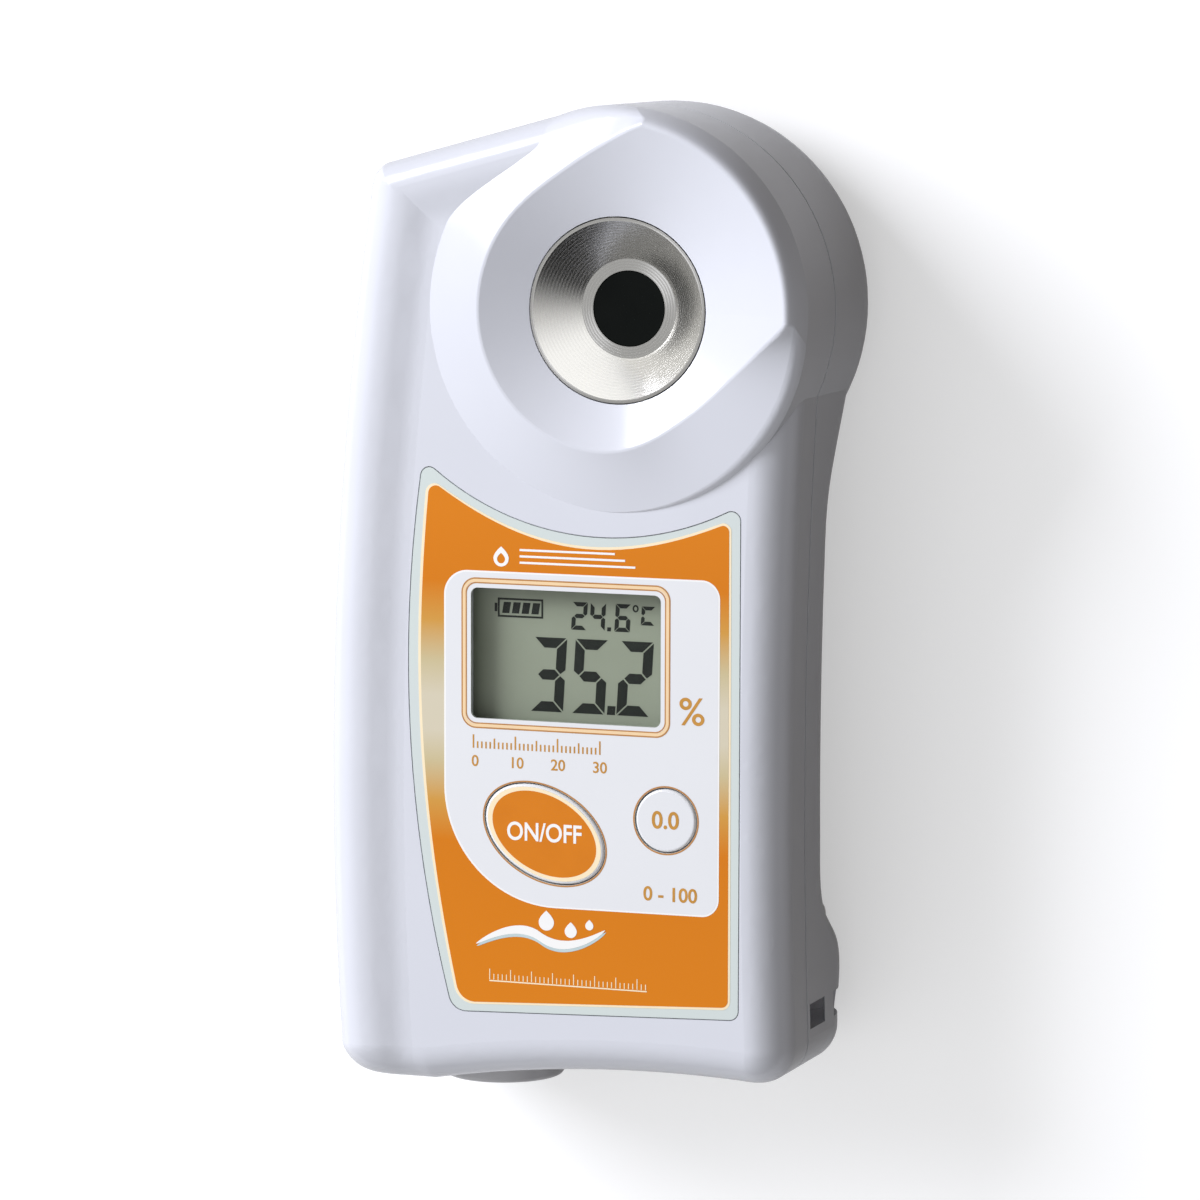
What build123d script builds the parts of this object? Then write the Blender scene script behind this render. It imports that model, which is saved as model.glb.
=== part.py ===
from build123d import *
import os
from math import cos, radians, sin, sqrt, tan

# Pocket digital refractometer, lying on its back.
# The origin is on the table, under the centre of the sample stage. X is to the right of the face,
# Y towards the stage end, and Z out of the face. All sizes are in millimetres.

# Heights above the table
FACE_Z = 27.0
PARTING_Z = FACE_Z - 8.7
SEAM_GAP = 0.25
WALL = 2.0

# Plan outline of the case
HEAD_R = 22.4
LEFT_WALL = ((-30.1, 13.5), (-34.7, -33.75), (-34.3, -81.0))
RIGHT_WALL = ((20.4, -8.4), (19.2, -50.0), (20.0, -86.0))
SHOULDER_TILT = 15.1
SHOULDER_ROUND = 3.0
BOTTOM_Y = -87.4
BOTTOM_ROUND = 4.0
ARCH_X = 5.0
ARCH_RISE = 2.55
ARCH_R = 150.0

# Section of the case
BACK_ROUND = 8.0
FRONT_ROUND = 4.5
RIDGE_RISE = 0.9
RIDGE_WIDTH = 10.0
RIDGE_CREST = 4.6
LEFT_SHOULDER = 5.0
RIM_WIDTH = 8.5
RIM_RISE = 0.88
RIM_CREST = 3.2
RIM_LENGTH = 20.7
RIM_DROP = 3.4
HEAD_EDGE_ROUND = 3.0
GRIP_RISE = 6.3
GRIP_FOOT_SLOPE = (-73.5, -65.5)
GRIP_HEAD_SLOPE = (-24.0, -4.0)
FOOT_STEP = 1.2
FOOT_STEP_SLOPE = (-79.0, -75.0)
REST_TRIM = 0.15
LOFT_START_Y = -88.0
LOFT_STEP = 4.0
LOFT_SECTIONS = 30

# Gasket in the seam: how far its two sides are inside the outer surface, and its groove
GASKET_INSETS = (0.5, 1.5)
GASKET_DEPTH = 0.6

# Raised dish round the sample stage
DISH_R = 10.3
DISH_DROP = 0.4
DISH_SLOPE = 24.0
DISH_POCKET_R = 12.0
LIP_R = 20.6
LIP_BASE_RISE = 0.8
LIP_LEAN = 0.2
CREST_ROUND = 0.5
FLANK_ROOT_Z = FACE_Z - 8.0
FLANK_TOP_Z = FACE_Z + 7.0
FLANK_OVERLAP = 3.0
OPEN_SIDE = (-1.0, 76.8)
# The crest line and the flank outside it, anticlockwise from the upper corner to the lower right one.
# Each station has its azimuth, the radius of the crest, the height above the face at which the flank
# would reach the edge of the head, the height at which its rounded shoulder gets there, and the length
# of that shoulder. The first two and the last two are past the corners, over the open side.
FLANK_STATIONS = (
    (62.0, 22.2, 3.7, 1.7, 1.0),
    (70.0, 21.9, 3.1, 1.3, 1.0),
    (78.3, 20.9, 2.6, 0.8, 1.1),
    (84.0, 19.7, 2.0, 0.6, 1.2),
    (90.0, 18.5, 1.5, 0.1, 1.6),
    (98.0, 17.35, 0.9, -1.0, 2.3),
    (107.0, 16.42, 0.35, -2.5, 2.8),
    (117.0, 15.83, 0.1, -3.1, 2.6),
    (128.0, 15.58, 0.0, -3.4, 1.6),
    (142.0, 15.52, -0.1, -2.8, 0.6),
    (158.0, 15.5, -0.15, -3.0, 0.3),
    (175.0, 15.5, -0.15, -3.0, 0.3),
    (192.0, 15.5, -0.15, -3.0, 0.3),
    (209.0, 15.5, -0.15, -3.0, 0.3),
    (226.0, 15.5, -0.15, -3.0, 0.3),
    (243.0, 15.5, -0.15, -3.0, 0.3),
    (256.0, 15.46, -0.12, -2.6, 0.3),
    (267.0, 15.36, -0.06, -2.0, 0.35),
    (277.0, 15.15, 0.05, -1.4, 0.45),
    (287.0, 14.78, 0.2, -0.8, 0.6),
    (297.0, 14.42, 0.4, -0.35, 0.8),
    (307.0, 14.3, 0.6, -0.05, 1.0),
    (317.0, 14.5, 0.8, 0.15, 1.2),
    (327.0, 15.0, 1.05, 0.3, 1.3),
    (336.0, 15.91, 1.3, 0.45, 1.3),
    (344.0, 17.19, 1.65, 0.55, 1.3),
    (351.0, 18.82, 2.1, 0.65, 1.2),
    (357.4, 20.91, 2.6, 0.8, 1.1),
    (365.0, 21.9, 3.1, 1.3, 1.0),
    (373.0, 22.2, 3.7, 1.7, 1.0),
)

# Sample stage and prism
STAGE_R = 10.15
STAGE_RIM = 0.35
STAGE_FLOOR_R = 5.5
STAGE_DEPTH = 3.8
PRISM_R = 4.1
PRISM_FIT = 0.1
FLANGE_R = 12.0
FLANGE_TOP_Z = 22.6
FLANGE_BOTTOM_Z = 21.2
SEAL_THICK = 0.3

# Overlay film, its window and its two keys
FILM_THICK = 0.35
FILM_GAP = 0.12
FILM_TOP = ((-22.7, -17.0), (-1.0, -25.0), (14.5, -20.9))
FILM_RIGHT_X = 14.5
FILM_BOTTOM = ((14.5, -77.6), (-19.2, -78.8))
FILM_LEFT = (-24.4, -44.0)
FILM_CORNERS = ((FILM_TOP[0], 1.0), (FILM_TOP[2], 1.0), (FILM_BOTTOM[0], 1.0), (FILM_BOTTOM[1], 2.0))
VIEW_X = (-17.0, 5.4)
VIEW_Y = (-45.65, -31.05)
VIEW_CORNER = 0.8
START_CENTRE = (-8.2, -58.2)
START_SEMI = (7.4, 5.0)
START_TILT = -25.0
ZERO_CENTRE = (6.07, -55.9)
ZERO_R = 3.5
KEY_GAP = 0.15
KEY_PROUD = 0.2
KEY_WELL = 0.55
KEY_STEM_R = 1.6
KEY_STEM_GAP = 0.35
KEY_TRAVEL = 0.35

# Display
WINDOW_MARGIN = 1.5
WINDOW_THICK = 1.2
LCD_MARGIN = 1.2
LCD_THICK = 1.8
LCD_TOP_Z = 24.4
HOLDER_WALL = 1.2
HOLDER_TOP_Z = 24.7

# Main board
BOARD_X = (-30.0, 12.6)
BOARD_Y = (-75.5, -25.5)
BOARD_Z = 20.3
BOARD_THICK = 1.0
BOARD_POSTS = ((-27.5, -28.5), (10.2, -32.5), (-28.5, -72.0), (9.6, -72.0))
POST_R = 2.0
SMALL_SCREW_R = 0.7
SMALL_SCREW_HEAD_R = 1.4
SMALL_SCREW_HEAD = 0.6

# Case screws, driven from the back
CASE_SCREWS = ((-24.5, 4.0), (15.0, -21.0), (-29.6, -78.0), (15.7, -69.0))
CASE_SCREW_R = 0.95
CASE_SCREW_HEAD_R = 1.8
CASE_SCREW_HEAD = 1.4
CASE_BOSS_R = 2.5
CASE_SCREW_SINK = 3.0
CASE_SCREW_TIP_Z = 24.0

# Batteries and their sleeve
CELL_R = 5.15
CELL_LENGTH = 44.5
CELL_XS = (-8.0, 2.7)
CELL_Z = 13.6
CELL_NUB_R = 1.9
CELL_NUB = 0.9
CELL_END_Y = -81.8
BORE_R = 5.3
SLEEVE_WALL = 0.7
SLEEVE_FIT = 0.1
SLEEVE_FACE_Y = -82.2
SLEEVE_FLANGE = 1.4
SLEEVE_INNER_Y = -35.0
SPRING_LENGTH = 1.3

# Battery cover at the bottom end, and its coin lock
COVER_X = (-26.2, 9.4)
COVER_Z = (5.2, 20.0)
COVER_CORNER = 6.5
COVER_GAP = 0.2
COVER_INNER_Y = -83.0
FRAME_MARGIN = 1.6
FRAME_INNER_Y = -82.6
LOCK_X = -18.7
LOCK_Z = 12.6
LOCK_R = 6.9
LOCK_END_Y = -88.5
LOCK_HEAD = 2.6
LOCK_STEM_R = 2.4
LOCK_STEM_GAP = 0.08
LOCK_STEM_END_Y = -75.0
LOCK_BOSS_R = 4.3
COIN_SLOT = (11.0, 1.6, 1.3)

# Strap eyelet in the right side of the back case
STRAP_AXIS = (21.5, 10.6)
STRAP_RADII = (2.4, 7.0)
STRAP_Y = (-80.0, -77.2)
STRAP_BLOCK_X = (13.7, 24.0)
STRAP_BLOCK_Y = (-84.0, -74.2)

# Optical unit under the stage
BLOCK_TOP_Z = 21.2
BLOCK_PLATE = 1.4
BLOCK_PLATE_R = 15.2
BLOCK_HALF_DEPTH = 6.5
BLOCK_PROFILE = ((-15.0, 19.9), (-15.0, 11.0), (-9.0, 5.0), (9.0, 5.0), (15.0, 11.0), (15.0, 19.9))
LIGHT_PATH_R = 2.6
LIGHT_PORT = (12.0, 8.0)
BLOCK_SCREW_CIRCLE = 13.4
OPTIC_BOARD = (9.0, 7.6, 1.0)


def ease(value, start, end):
    """Smooth step from 0 at start to 1 at end."""
    part = min(max((value - start) / (end - start), 0.0), 1.0)
    return part * part * (3.0 - 2.0 * part)


def back_height(y):
    """Height of the back above the table: low at head and foot, raised in the grip."""
    grip = GRIP_RISE * ease(y, *GRIP_FOOT_SLOPE) * (1.0 - ease(y, *GRIP_HEAD_SLOPE))
    foot = FOOT_STEP * (1.0 - ease(y, *FOOT_STEP_SLOPE))
    return grip + foot


def wall_x(points, y):
    """X of a side wall at y, on the shallow curve through its three points."""
    total = 0.0
    for here in points:
        weight = here[0]
        for other in points:
            if other is not here:
                weight *= (y - other[1]) / (here[1] - other[1])
        total += weight
    return total


def case_section(y, inset):
    """Section across the case at y, drawn this far inside the outer surface."""
    left = wall_x(LEFT_WALL, y) + inset
    right = wall_x(RIGHT_WALL, y) - inset
    low = back_height(y) - REST_TRIM + inset
    high = FACE_Z - inset
    back_r = BACK_ROUND - inset
    front_r = FRONT_ROUND - inset
    strip = left + RIDGE_WIDTH - inset
    crest = left + RIDGE_CREST - inset
    top = high + RIDGE_RISE
    plane = Plane(origin=(0, y, 0), x_dir=(1, 0, 0), z_dir=(0, -1, 0))
    with BuildSketch(plane) as section:
        with BuildLine():
            Line((left + back_r, low), (right - back_r, low))
            RadiusArc((right - back_r, low), (right, low + back_r), -back_r)
            Line((right, low + back_r), (right, high - front_r))
            RadiusArc((right, high - front_r), (right - front_r, high), -front_r)
            Line((right - front_r, high), (strip, high))
            Bezier((strip, high), (strip - 2.5, high), (crest + 2.4, top), (crest, top))
            Bezier((crest, top), (left + 1.6, top), (left, high - 2.0), (left, high - LEFT_SHOULDER))
            Line((left, high - LEFT_SHOULDER), (left, low + back_r))
            RadiusArc((left, low + back_r), (left + back_r, low), -back_r)
        make_face()
    return section.sketch


def case_solid(inset):
    """The whole case without its raised dish, drawn this far inside the outer surface."""
    head_r = HEAD_R - inset
    back_r = BACK_ROUND - inset
    core_r = head_r - back_r - 1.0
    tilt = radians(SHOULDER_TILT)
    along = Vector(cos(tilt), sin(tilt))
    outward = Vector(-sin(tilt), cos(tilt))
    tangent = outward * head_r
    far_left = tangent - along * 60.0
    end_y = BOTTOM_Y + inset
    with BuildPart() as body:
        for step in range(LOFT_SECTIONS):
            add(case_section(LOFT_START_Y + LOFT_STEP * step, inset))
        loft()
        with BuildSketch():
            with BuildLine():
                Polyline(far_left, tangent, outward * core_r)
                CenterArc((0, 0), core_r, 90.0 + SHOULDER_TILT, -(90.0 + SHOULDER_TILT))
                Polyline((core_r, 0), (60, 0), (60, 60), (far_left.X, 60), far_left)
            make_face()
        extrude(amount=80, both=True, mode=Mode.SUBTRACT)
        with BuildSketch():
            with Locations((0, end_y - 10)):
                Rectangle(120, 20)
            with Locations((ARCH_X, BOTTOM_Y + ARCH_RISE - ARCH_R)):
                Circle(ARCH_R + inset)
        extrude(amount=80, both=True, mode=Mode.SUBTRACT)
        rim = body.edges().filter_by(lambda edge: edge.bounding_box().max.Y < end_y + ARCH_RISE + 0.1)
        sides_x = wall_x(RIGHT_WALL, end_y) - inset - 2.0
        rim = rim.filter_by(lambda edge: edge.bounding_box().size.X > 0.3 or abs(edge.center().X) > sides_x)
        fillet(rim, BOTTOM_ROUND - 0.75 * inset)
        if inset == 0:
            corner = body.edges().filter_by(lambda edge: edge.bounding_box().size.X < 0.1)
            corner = corner.filter_by(lambda edge: edge.center().Y > 10 and edge.center().X < -20)
            fillet(corner, SHOULDER_ROUND)
        side = Plane(origin=tangent, x_dir=outward, z_dir=along)
        if inset == 0:
            rim_z = FACE_Z + RIM_RISE
            drop_z = FACE_Z - RIM_DROP
            with BuildSketch(side):
                with BuildLine():
                    Polyline((-RIM_WIDTH, FACE_Z), (-RIM_WIDTH, drop_z + 0.2), (1.0, drop_z + 0.2),
                             (1.0, rim_z), (-RIM_CREST, rim_z))
                    Bezier((-RIM_CREST, rim_z), (-RIM_CREST - 2.2, rim_z), (2.2 - RIM_WIDTH, FACE_Z),
                           (-RIM_WIDTH, FACE_Z))
                make_face()
            extrude(amount=-RIM_LENGTH)
            with BuildSketch(side):
                with BuildLine():
                    Bezier((0, drop_z), (0, drop_z + 2.3), (-1.2, rim_z), (-RIM_CREST, rim_z))
                    Polyline((-RIM_CREST, rim_z), (-RIM_CREST, FACE_Z + 6), (12, FACE_Z + 6), (12, drop_z),
                             (0, drop_z))
                make_face()
            extrude(amount=-60, mode=Mode.SUBTRACT)
        with BuildSketch(side):
            with BuildLine():
                Polyline((0, inset + back_r), (12, inset + back_r), (12, -12), (-back_r, -12),
                         (-back_r, inset))
                RadiusArc((-back_r, inset), (0, inset + back_r), -back_r)
            make_face()
        extrude(amount=-60, mode=Mode.SUBTRACT)
        with BuildSketch(Plane.XZ):
            with BuildLine():
                top_z = FACE_Z - inset
                edge_r = HEAD_EDGE_ROUND - inset / 2
                Polyline((head_r - back_r, inset), (0, inset), (0, top_z), (head_r - edge_r, top_z))
                RadiusArc((head_r - edge_r, top_z), (head_r, top_z - edge_r), edge_r)
                Line((head_r, top_z - edge_r), (head_r, inset + back_r))
                RadiusArc((head_r, inset + back_r), (head_r - back_r, inset), back_r)
            make_face()
        revolve(axis=Axis.Z)
    return body.part


def dish_height(radius):
    """Height of the cone of the dish at this distance from its axis."""
    return FACE_Z - DISH_DROP + (radius - DISH_R) * tan(radians(DISH_SLOPE))


def flank_section(azimuth, crest_r, edge_rise, base_rise, shoulder):
    """Upright section of the flank through the axis of the dish, past the edge of the head."""
    turn = radians(azimuth)
    plane = Plane(origin=(0, 0, 0), x_dir=(cos(turn), sin(turn), 0), z_dir=(sin(turn), -cos(turn), 0))
    crest = Vector(crest_r, dish_height(crest_r))
    edge = Vector(HEAD_R, FACE_Z + edge_rise)
    fall = (edge - crest).normalized()
    inner = crest - fall * FLANK_OVERLAP
    start = edge - fall * shoulder
    pull = edge - fall * shoulder * 0.3
    foot = Vector(HEAD_R + 1.5 * LIP_LEAN, FACE_Z + base_rise - 1.5)
    lean = Vector(HEAD_R - 0.1, foot.Y + 0.8 * (edge.Y - foot.Y))
    with BuildSketch(plane) as section:
        with BuildLine():
            Polyline((start.X, start.Y), (inner.X, inner.Y), (inner.X, FLANK_ROOT_Z), (foot.X, FLANK_ROOT_Z),
                     (foot.X, foot.Y))
            Bezier((foot.X, foot.Y), (lean.X, lean.Y), (pull.X, pull.Y), (start.X, start.Y))
        make_face()
    return section.sketch


def around(radius, azimuth):
    """Plan point at a radius and an azimuth about the axis of the dish."""
    return (radius * cos(radians(azimuth)), radius * sin(radians(azimuth)))


def raised_dish():
    """Raised ring round the stage: a conical dish, open to the upper right, with a flank everywhere else."""
    low_z = dish_height(DISH_R)
    lip_z = dish_height(LIP_R)
    base_z = FACE_Z + LIP_BASE_RISE
    beyond_r = HEAD_R + 8.0
    above_z = FLANK_TOP_Z + 10.0
    plan = [around(HEAD_R - 2.0, OPEN_SIDE[1])]
    plan += [around(crest_r - 1.0, azimuth) for azimuth, crest_r, *_ in FLANK_STATIONS[2:-2]]
    plan += [around(HEAD_R - 2.0, OPEN_SIDE[0]), around(beyond_r, OPEN_SIDE[0]), (beyond_r, beyond_r),
             around(beyond_r, OPEN_SIDE[1])]
    with BuildPart() as dish:
        for station in FLANK_STATIONS:
            add(flank_section(*station))
        loft()
        with BuildSketch(Plane.XY.offset(FLANK_ROOT_Z)):
            with BuildLine():
                Polyline(*plan, plan[0])
            make_face()
        extrude(amount=FLANK_TOP_Z - FLANK_ROOT_Z)
        with BuildSketch(Plane.XY.offset(FLANK_ROOT_Z)):
            Circle(HEAD_R)
        extrude(amount=above_z - FLANK_ROOT_Z, mode=Mode.INTERSECT)
        with BuildSketch(Plane.XZ):
            with BuildLine():
                Polyline((0, low_z - 1.0), (DISH_R, low_z - 1.0), (DISH_R, low_z), (LIP_R, lip_z))
                Bezier((LIP_R, lip_z), (LIP_R + 1.0, lip_z + tan(radians(DISH_SLOPE))),
                       (HEAD_R - 1.5 * LIP_LEAN, base_z + 1.5), (HEAD_R, base_z))
                Polyline((HEAD_R, base_z), (HEAD_R + 2.0 * LIP_LEAN, base_z - 2.0), (beyond_r, base_z - 2.0),
                         (beyond_r, above_z), (0, above_z), (0, low_z - 1.0))
            make_face()
        revolve(axis=Axis.Z, mode=Mode.SUBTRACT)
        cone = dish.faces().filter_by(GeomType.CONE).sort_by(SortBy.AREA)[-1]
        fillet(cone.edges().filter_by(GeomType.BSPLINE), CREST_ROUND)
    return dish.part


def ellipse_sketch(grow):
    """Outline of the START key, grown by this much."""
    with BuildSketch() as oval:
        with Locations(Location(START_CENTRE, START_TILT)):
            Ellipse(START_SEMI[0] + grow, START_SEMI[1] + grow)
    return oval.sketch


def film_sketch(grow):
    """Outline of the overlay film, grown by this much."""
    with BuildSketch() as outline:
        with BuildLine():
            ThreePointArc(*FILM_TOP)
            Polyline(FILM_TOP[2], (FILM_RIGHT_X, FILM_BOTTOM[0][1]), FILM_BOTTOM[1])
            ThreePointArc(FILM_BOTTOM[1], FILM_LEFT, FILM_TOP[0])
        make_face()
        for spot, radius in FILM_CORNERS:
            fillet(outline.vertices().sort_by_distance((spot[0], spot[1], 0))[0], radius)
        if grow:
            offset(amount=grow, kind=Kind.TANGENT)
    return outline.sketch


def view_sketch(grow, corner):
    """Outline of the display view, grown by this much."""
    width = VIEW_X[1] - VIEW_X[0] + 2 * grow
    height = VIEW_Y[1] - VIEW_Y[0] + 2 * grow
    with BuildSketch() as view:
        with Locations(((VIEW_X[0] + VIEW_X[1]) / 2, (VIEW_Y[0] + VIEW_Y[1]) / 2)):
            RectangleRounded(width, height, corner)
    return view.sketch


def cover_sketch(grow):
    """Outline of the battery cover, seen along the case, grown by this much. Its plane is XZ."""
    width = COVER_X[1] - COVER_X[0] + 2 * grow
    height = COVER_Z[1] - COVER_Z[0] + 2 * grow
    with BuildSketch(Plane.XZ) as cover:
        with Locations(((COVER_X[0] + COVER_X[1]) / 2, (COVER_Z[0] + COVER_Z[1]) / 2)):
            RectangleRounded(width, height, COVER_CORNER + grow)
    return cover.sketch


def sleeve_sketch(grow):
    """Outline of the battery sleeve, seen along the case, grown by this much. Its plane is XZ."""
    shell = BORE_R + SLEEVE_WALL + grow
    with BuildSketch(Plane.XZ) as sleeve:
        with Locations(((CELL_XS[0] + CELL_XS[1]) / 2, CELL_Z)):
            RectangleRounded(CELL_XS[1] - CELL_XS[0] + 2 * shell, 2 * shell, shell - 0.1)
    return sleeve.sketch


def rim_sketch(inset):
    """Plan outline of the case at the seam, drawn this far inside the outer surface."""
    tilt = radians(SHOULDER_TILT)
    head_r = HEAD_R - inset
    tangent = Vector(-sin(tilt), cos(tilt)) * head_r
    corner_x = wall_x(LEFT_WALL, 14.5) + inset
    corner = (corner_x, tangent.Y + (corner_x - tangent.X) * tan(tilt))
    foot_y = BOTTOM_Y + inset
    arch_r = ARCH_R + inset
    arch_top = BOTTOM_Y + ARCH_RISE + inset
    right_x = wall_x(RIGHT_WALL, foot_y) - inset
    right_y = arch_top - arch_r + sqrt(arch_r ** 2 - (right_x - ARCH_X) ** 2)
    arch_left = ARCH_X - sqrt(arch_r ** 2 - (arch_r - ARCH_RISE) ** 2)
    neck_y = RIGHT_WALL[0][1]
    middle_y = (neck_y + foot_y) / 2
    left_x = wall_x(LEFT_WALL, foot_y) + inset
    with BuildSketch() as rim:
        with BuildLine():
            Line(corner, tangent)
            neck = (sqrt(head_r ** 2 - neck_y ** 2), neck_y)
            ThreePointArc(tangent, (head_r * cos(radians(45)), head_r * sin(radians(45))), neck)
            right_top = (wall_x(RIGHT_WALL, neck_y - 1) - inset, neck_y - 1)
            Line(neck, right_top)
            ThreePointArc(right_top, (wall_x(RIGHT_WALL, middle_y) - inset, middle_y), (right_x, right_y))
            ThreePointArc((right_x, right_y), (ARCH_X, arch_top), (arch_left, foot_y))
            Line((arch_left, foot_y), (left_x, foot_y))
            ThreePointArc((left_x, foot_y), (wall_x(LEFT_WALL, middle_y) + inset, middle_y), corner)
        make_face()
        spots = rim.vertices().sort_by(Axis.Y)
        fillet(spots.filter_by(lambda spot: spot.Y < -60 and abs(spot.X + 7) > 20), BOTTOM_ROUND - inset)
        fillet(spots.filter_by(lambda spot: spot.Y > 0 and spot.X < -20), SHOULDER_ROUND - inset)
    return rim.sketch


def slab(low_z, high_z):
    """A block wider than the case between two heights."""
    with BuildPart() as block:
        with BuildSketch(Plane.XY.offset(low_z)):
            with Locations((0, -30)):
                Rectangle(160, 200)
        extrude(amount=high_z - low_z)
    return block.part


def along_y(sketch, start_y, end_y):
    """A solid of an XZ outline between two stations on Y."""
    with BuildPart() as bar:
        extrude(sketch.moved(Location((0, start_y, 0))), amount=start_y - end_y, dir=(0, -1, 0))
    return bar.part


def upright(sketch, low_z, high_z):
    """A solid of a plan outline between two heights."""
    with BuildPart() as post:
        extrude(sketch.moved(Location((0, 0, low_z))), amount=high_z - low_z, dir=(0, 0, 1))
    return post.part


outer = case_solid(0)
inner = case_solid(WALL)
dish = raised_dish()

with BuildSketch() as gasket_plan:
    add(rim_sketch(GASKET_INSETS[0]))
    add(rim_sketch(GASKET_INSETS[1]), mode=Mode.SUBTRACT)
gasket_low = PARTING_Z - SEAM_GAP / 2 - GASKET_DEPTH
gasket_high = PARTING_Z + SEAM_GAP / 2

os.makedirs("parts", exist_ok=True)


def finish(built, name):
    """Name a finished piece and write it."""
    built.part.label = name
    export_step(built.part, "parts/" + name + ".step")


def circles(points, radius):
    """Circles of one radius at plan points."""
    with BuildSketch() as spots:
        with Locations(*points):
            Circle(radius)
    return spots.sketch


film_floor_z = FACE_Z - FILM_THICK
key_well_z = film_floor_z - KEY_WELL
front_inner_z = FACE_Z - WALL
window_floor_z = film_floor_z - WINDOW_THICK
stage_top_z = FACE_Z - DISH_DROP
board_top_z = BOARD_Z + BOARD_THICK
post_low_z = board_top_z
frame_sketch = cover_sketch(FRAME_MARGIN)
opening_sketch = cover_sketch(COVER_GAP)
frame_blank = along_y(frame_sketch, FRAME_INNER_Y, BOTTOM_Y - 2.0)
opening_cut = along_y(opening_sketch, FRAME_INNER_Y + 0.5, BOTTOM_Y - 2.0)

with BuildPart() as cover_frame:
    add(frame_blank)
    add(outer, mode=Mode.INTERSECT)

# Front half of the case
boss_top = front_inner_z + 1.0
with BuildPart() as front_bosses:
    add(upright(circles(CASE_SCREWS, CASE_BOSS_R), PARTING_Z + SEAM_GAP, boss_top))
    add(outer, mode=Mode.INTERSECT)
with BuildPart() as front_case:
    add(outer)
    add(upright(circles([(0, 0)], DISH_POCKET_R), FACE_Z - 1.2, FACE_Z + 1), mode=Mode.SUBTRACT)
    add(dish)
    add(inner, mode=Mode.SUBTRACT)
    add(front_bosses.part)
    add(upright(circles([(0, 0)], BLOCK_PLATE_R), FLANGE_TOP_Z + SEAL_THICK, boss_top))
    add(upright(circles(BOARD_POSTS, POST_R), post_low_z, boss_top))
    add(cover_frame.part)
    add(slab(-20, PARTING_Z + SEAM_GAP / 2), mode=Mode.SUBTRACT)
    add(opening_cut, mode=Mode.SUBTRACT)
    add(upright(film_sketch(FILM_GAP), film_floor_z, FACE_Z + 4), mode=Mode.SUBTRACT)
    add(upright(view_sketch(WINDOW_MARGIN + COVER_GAP, VIEW_CORNER), window_floor_z, film_floor_z),
        mode=Mode.SUBTRACT)
    add(upright(view_sketch(0.4, VIEW_CORNER), front_inner_z - 1, window_floor_z), mode=Mode.SUBTRACT)
    add(upright(ellipse_sketch(KEY_GAP), key_well_z, film_floor_z), mode=Mode.SUBTRACT)
    add(upright(circles([ZERO_CENTRE], ZERO_R + KEY_GAP), key_well_z, film_floor_z), mode=Mode.SUBTRACT)
    stem_holes = circles([START_CENTRE, ZERO_CENTRE], KEY_STEM_R + KEY_STEM_GAP)
    add(upright(stem_holes, front_inner_z - 1, key_well_z), mode=Mode.SUBTRACT)
    add(upright(circles([(0, 0)], DISH_R), FLANGE_TOP_Z - 2, FACE_Z + 6), mode=Mode.SUBTRACT)
    with Locations(*[Location((x, y, PARTING_Z + SEAM_GAP), (0, 180, 0)) for x, y in CASE_SCREWS]):
        Hole(CASE_SCREW_R + 0.05, CASE_SCREW_TIP_Z - PARTING_Z)
    with Locations(*[Location((x, y, post_low_z), (0, 180, 0)) for x, y in BOARD_POSTS]):
        Hole(SMALL_SCREW_R + 0.05, 3.0)
    with Locations(Location((0, 0, FLANGE_TOP_Z + SEAL_THICK), (0, 180, 0))):
        with PolarLocations(BLOCK_SCREW_CIRCLE, 4, start_angle=45):
            Hole(SMALL_SCREW_R + 0.05, 2.6)
finish(front_case, "front_case")

# Back half of the case, with the strap eyelet in its side
with BuildPart() as strap_block:
    with BuildSketch(Plane.XY.offset(2.0)):
        with Locations((sum(STRAP_BLOCK_X) / 2, sum(STRAP_BLOCK_Y) / 2)):
            Rectangle(STRAP_BLOCK_X[1] - STRAP_BLOCK_X[0], STRAP_BLOCK_Y[1] - STRAP_BLOCK_Y[0])
    extrude(amount=PARTING_Z - SEAM_GAP / 2 - GASKET_DEPTH - 2.1)
    add(outer, mode=Mode.INTERSECT)
with BuildPart() as strap_tunnel:
    with BuildSketch(Plane(origin=(STRAP_AXIS[0], STRAP_Y[0], STRAP_AXIS[1]), z_dir=(0, 1, 0))):
        Circle(STRAP_RADII[1])
        Circle(STRAP_RADII[0], mode=Mode.SUBTRACT)
    extrude(amount=STRAP_Y[1] - STRAP_Y[0])
with BuildPart() as rear_bosses:
    for x, y in CASE_SCREWS:
        floor_z = back_height(y) - REST_TRIM + WALL - 1.0
        add(upright(circles([(x, y)], CASE_BOSS_R), floor_z, PARTING_Z - SEAM_GAP))
    add(outer, mode=Mode.INTERSECT)
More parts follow.
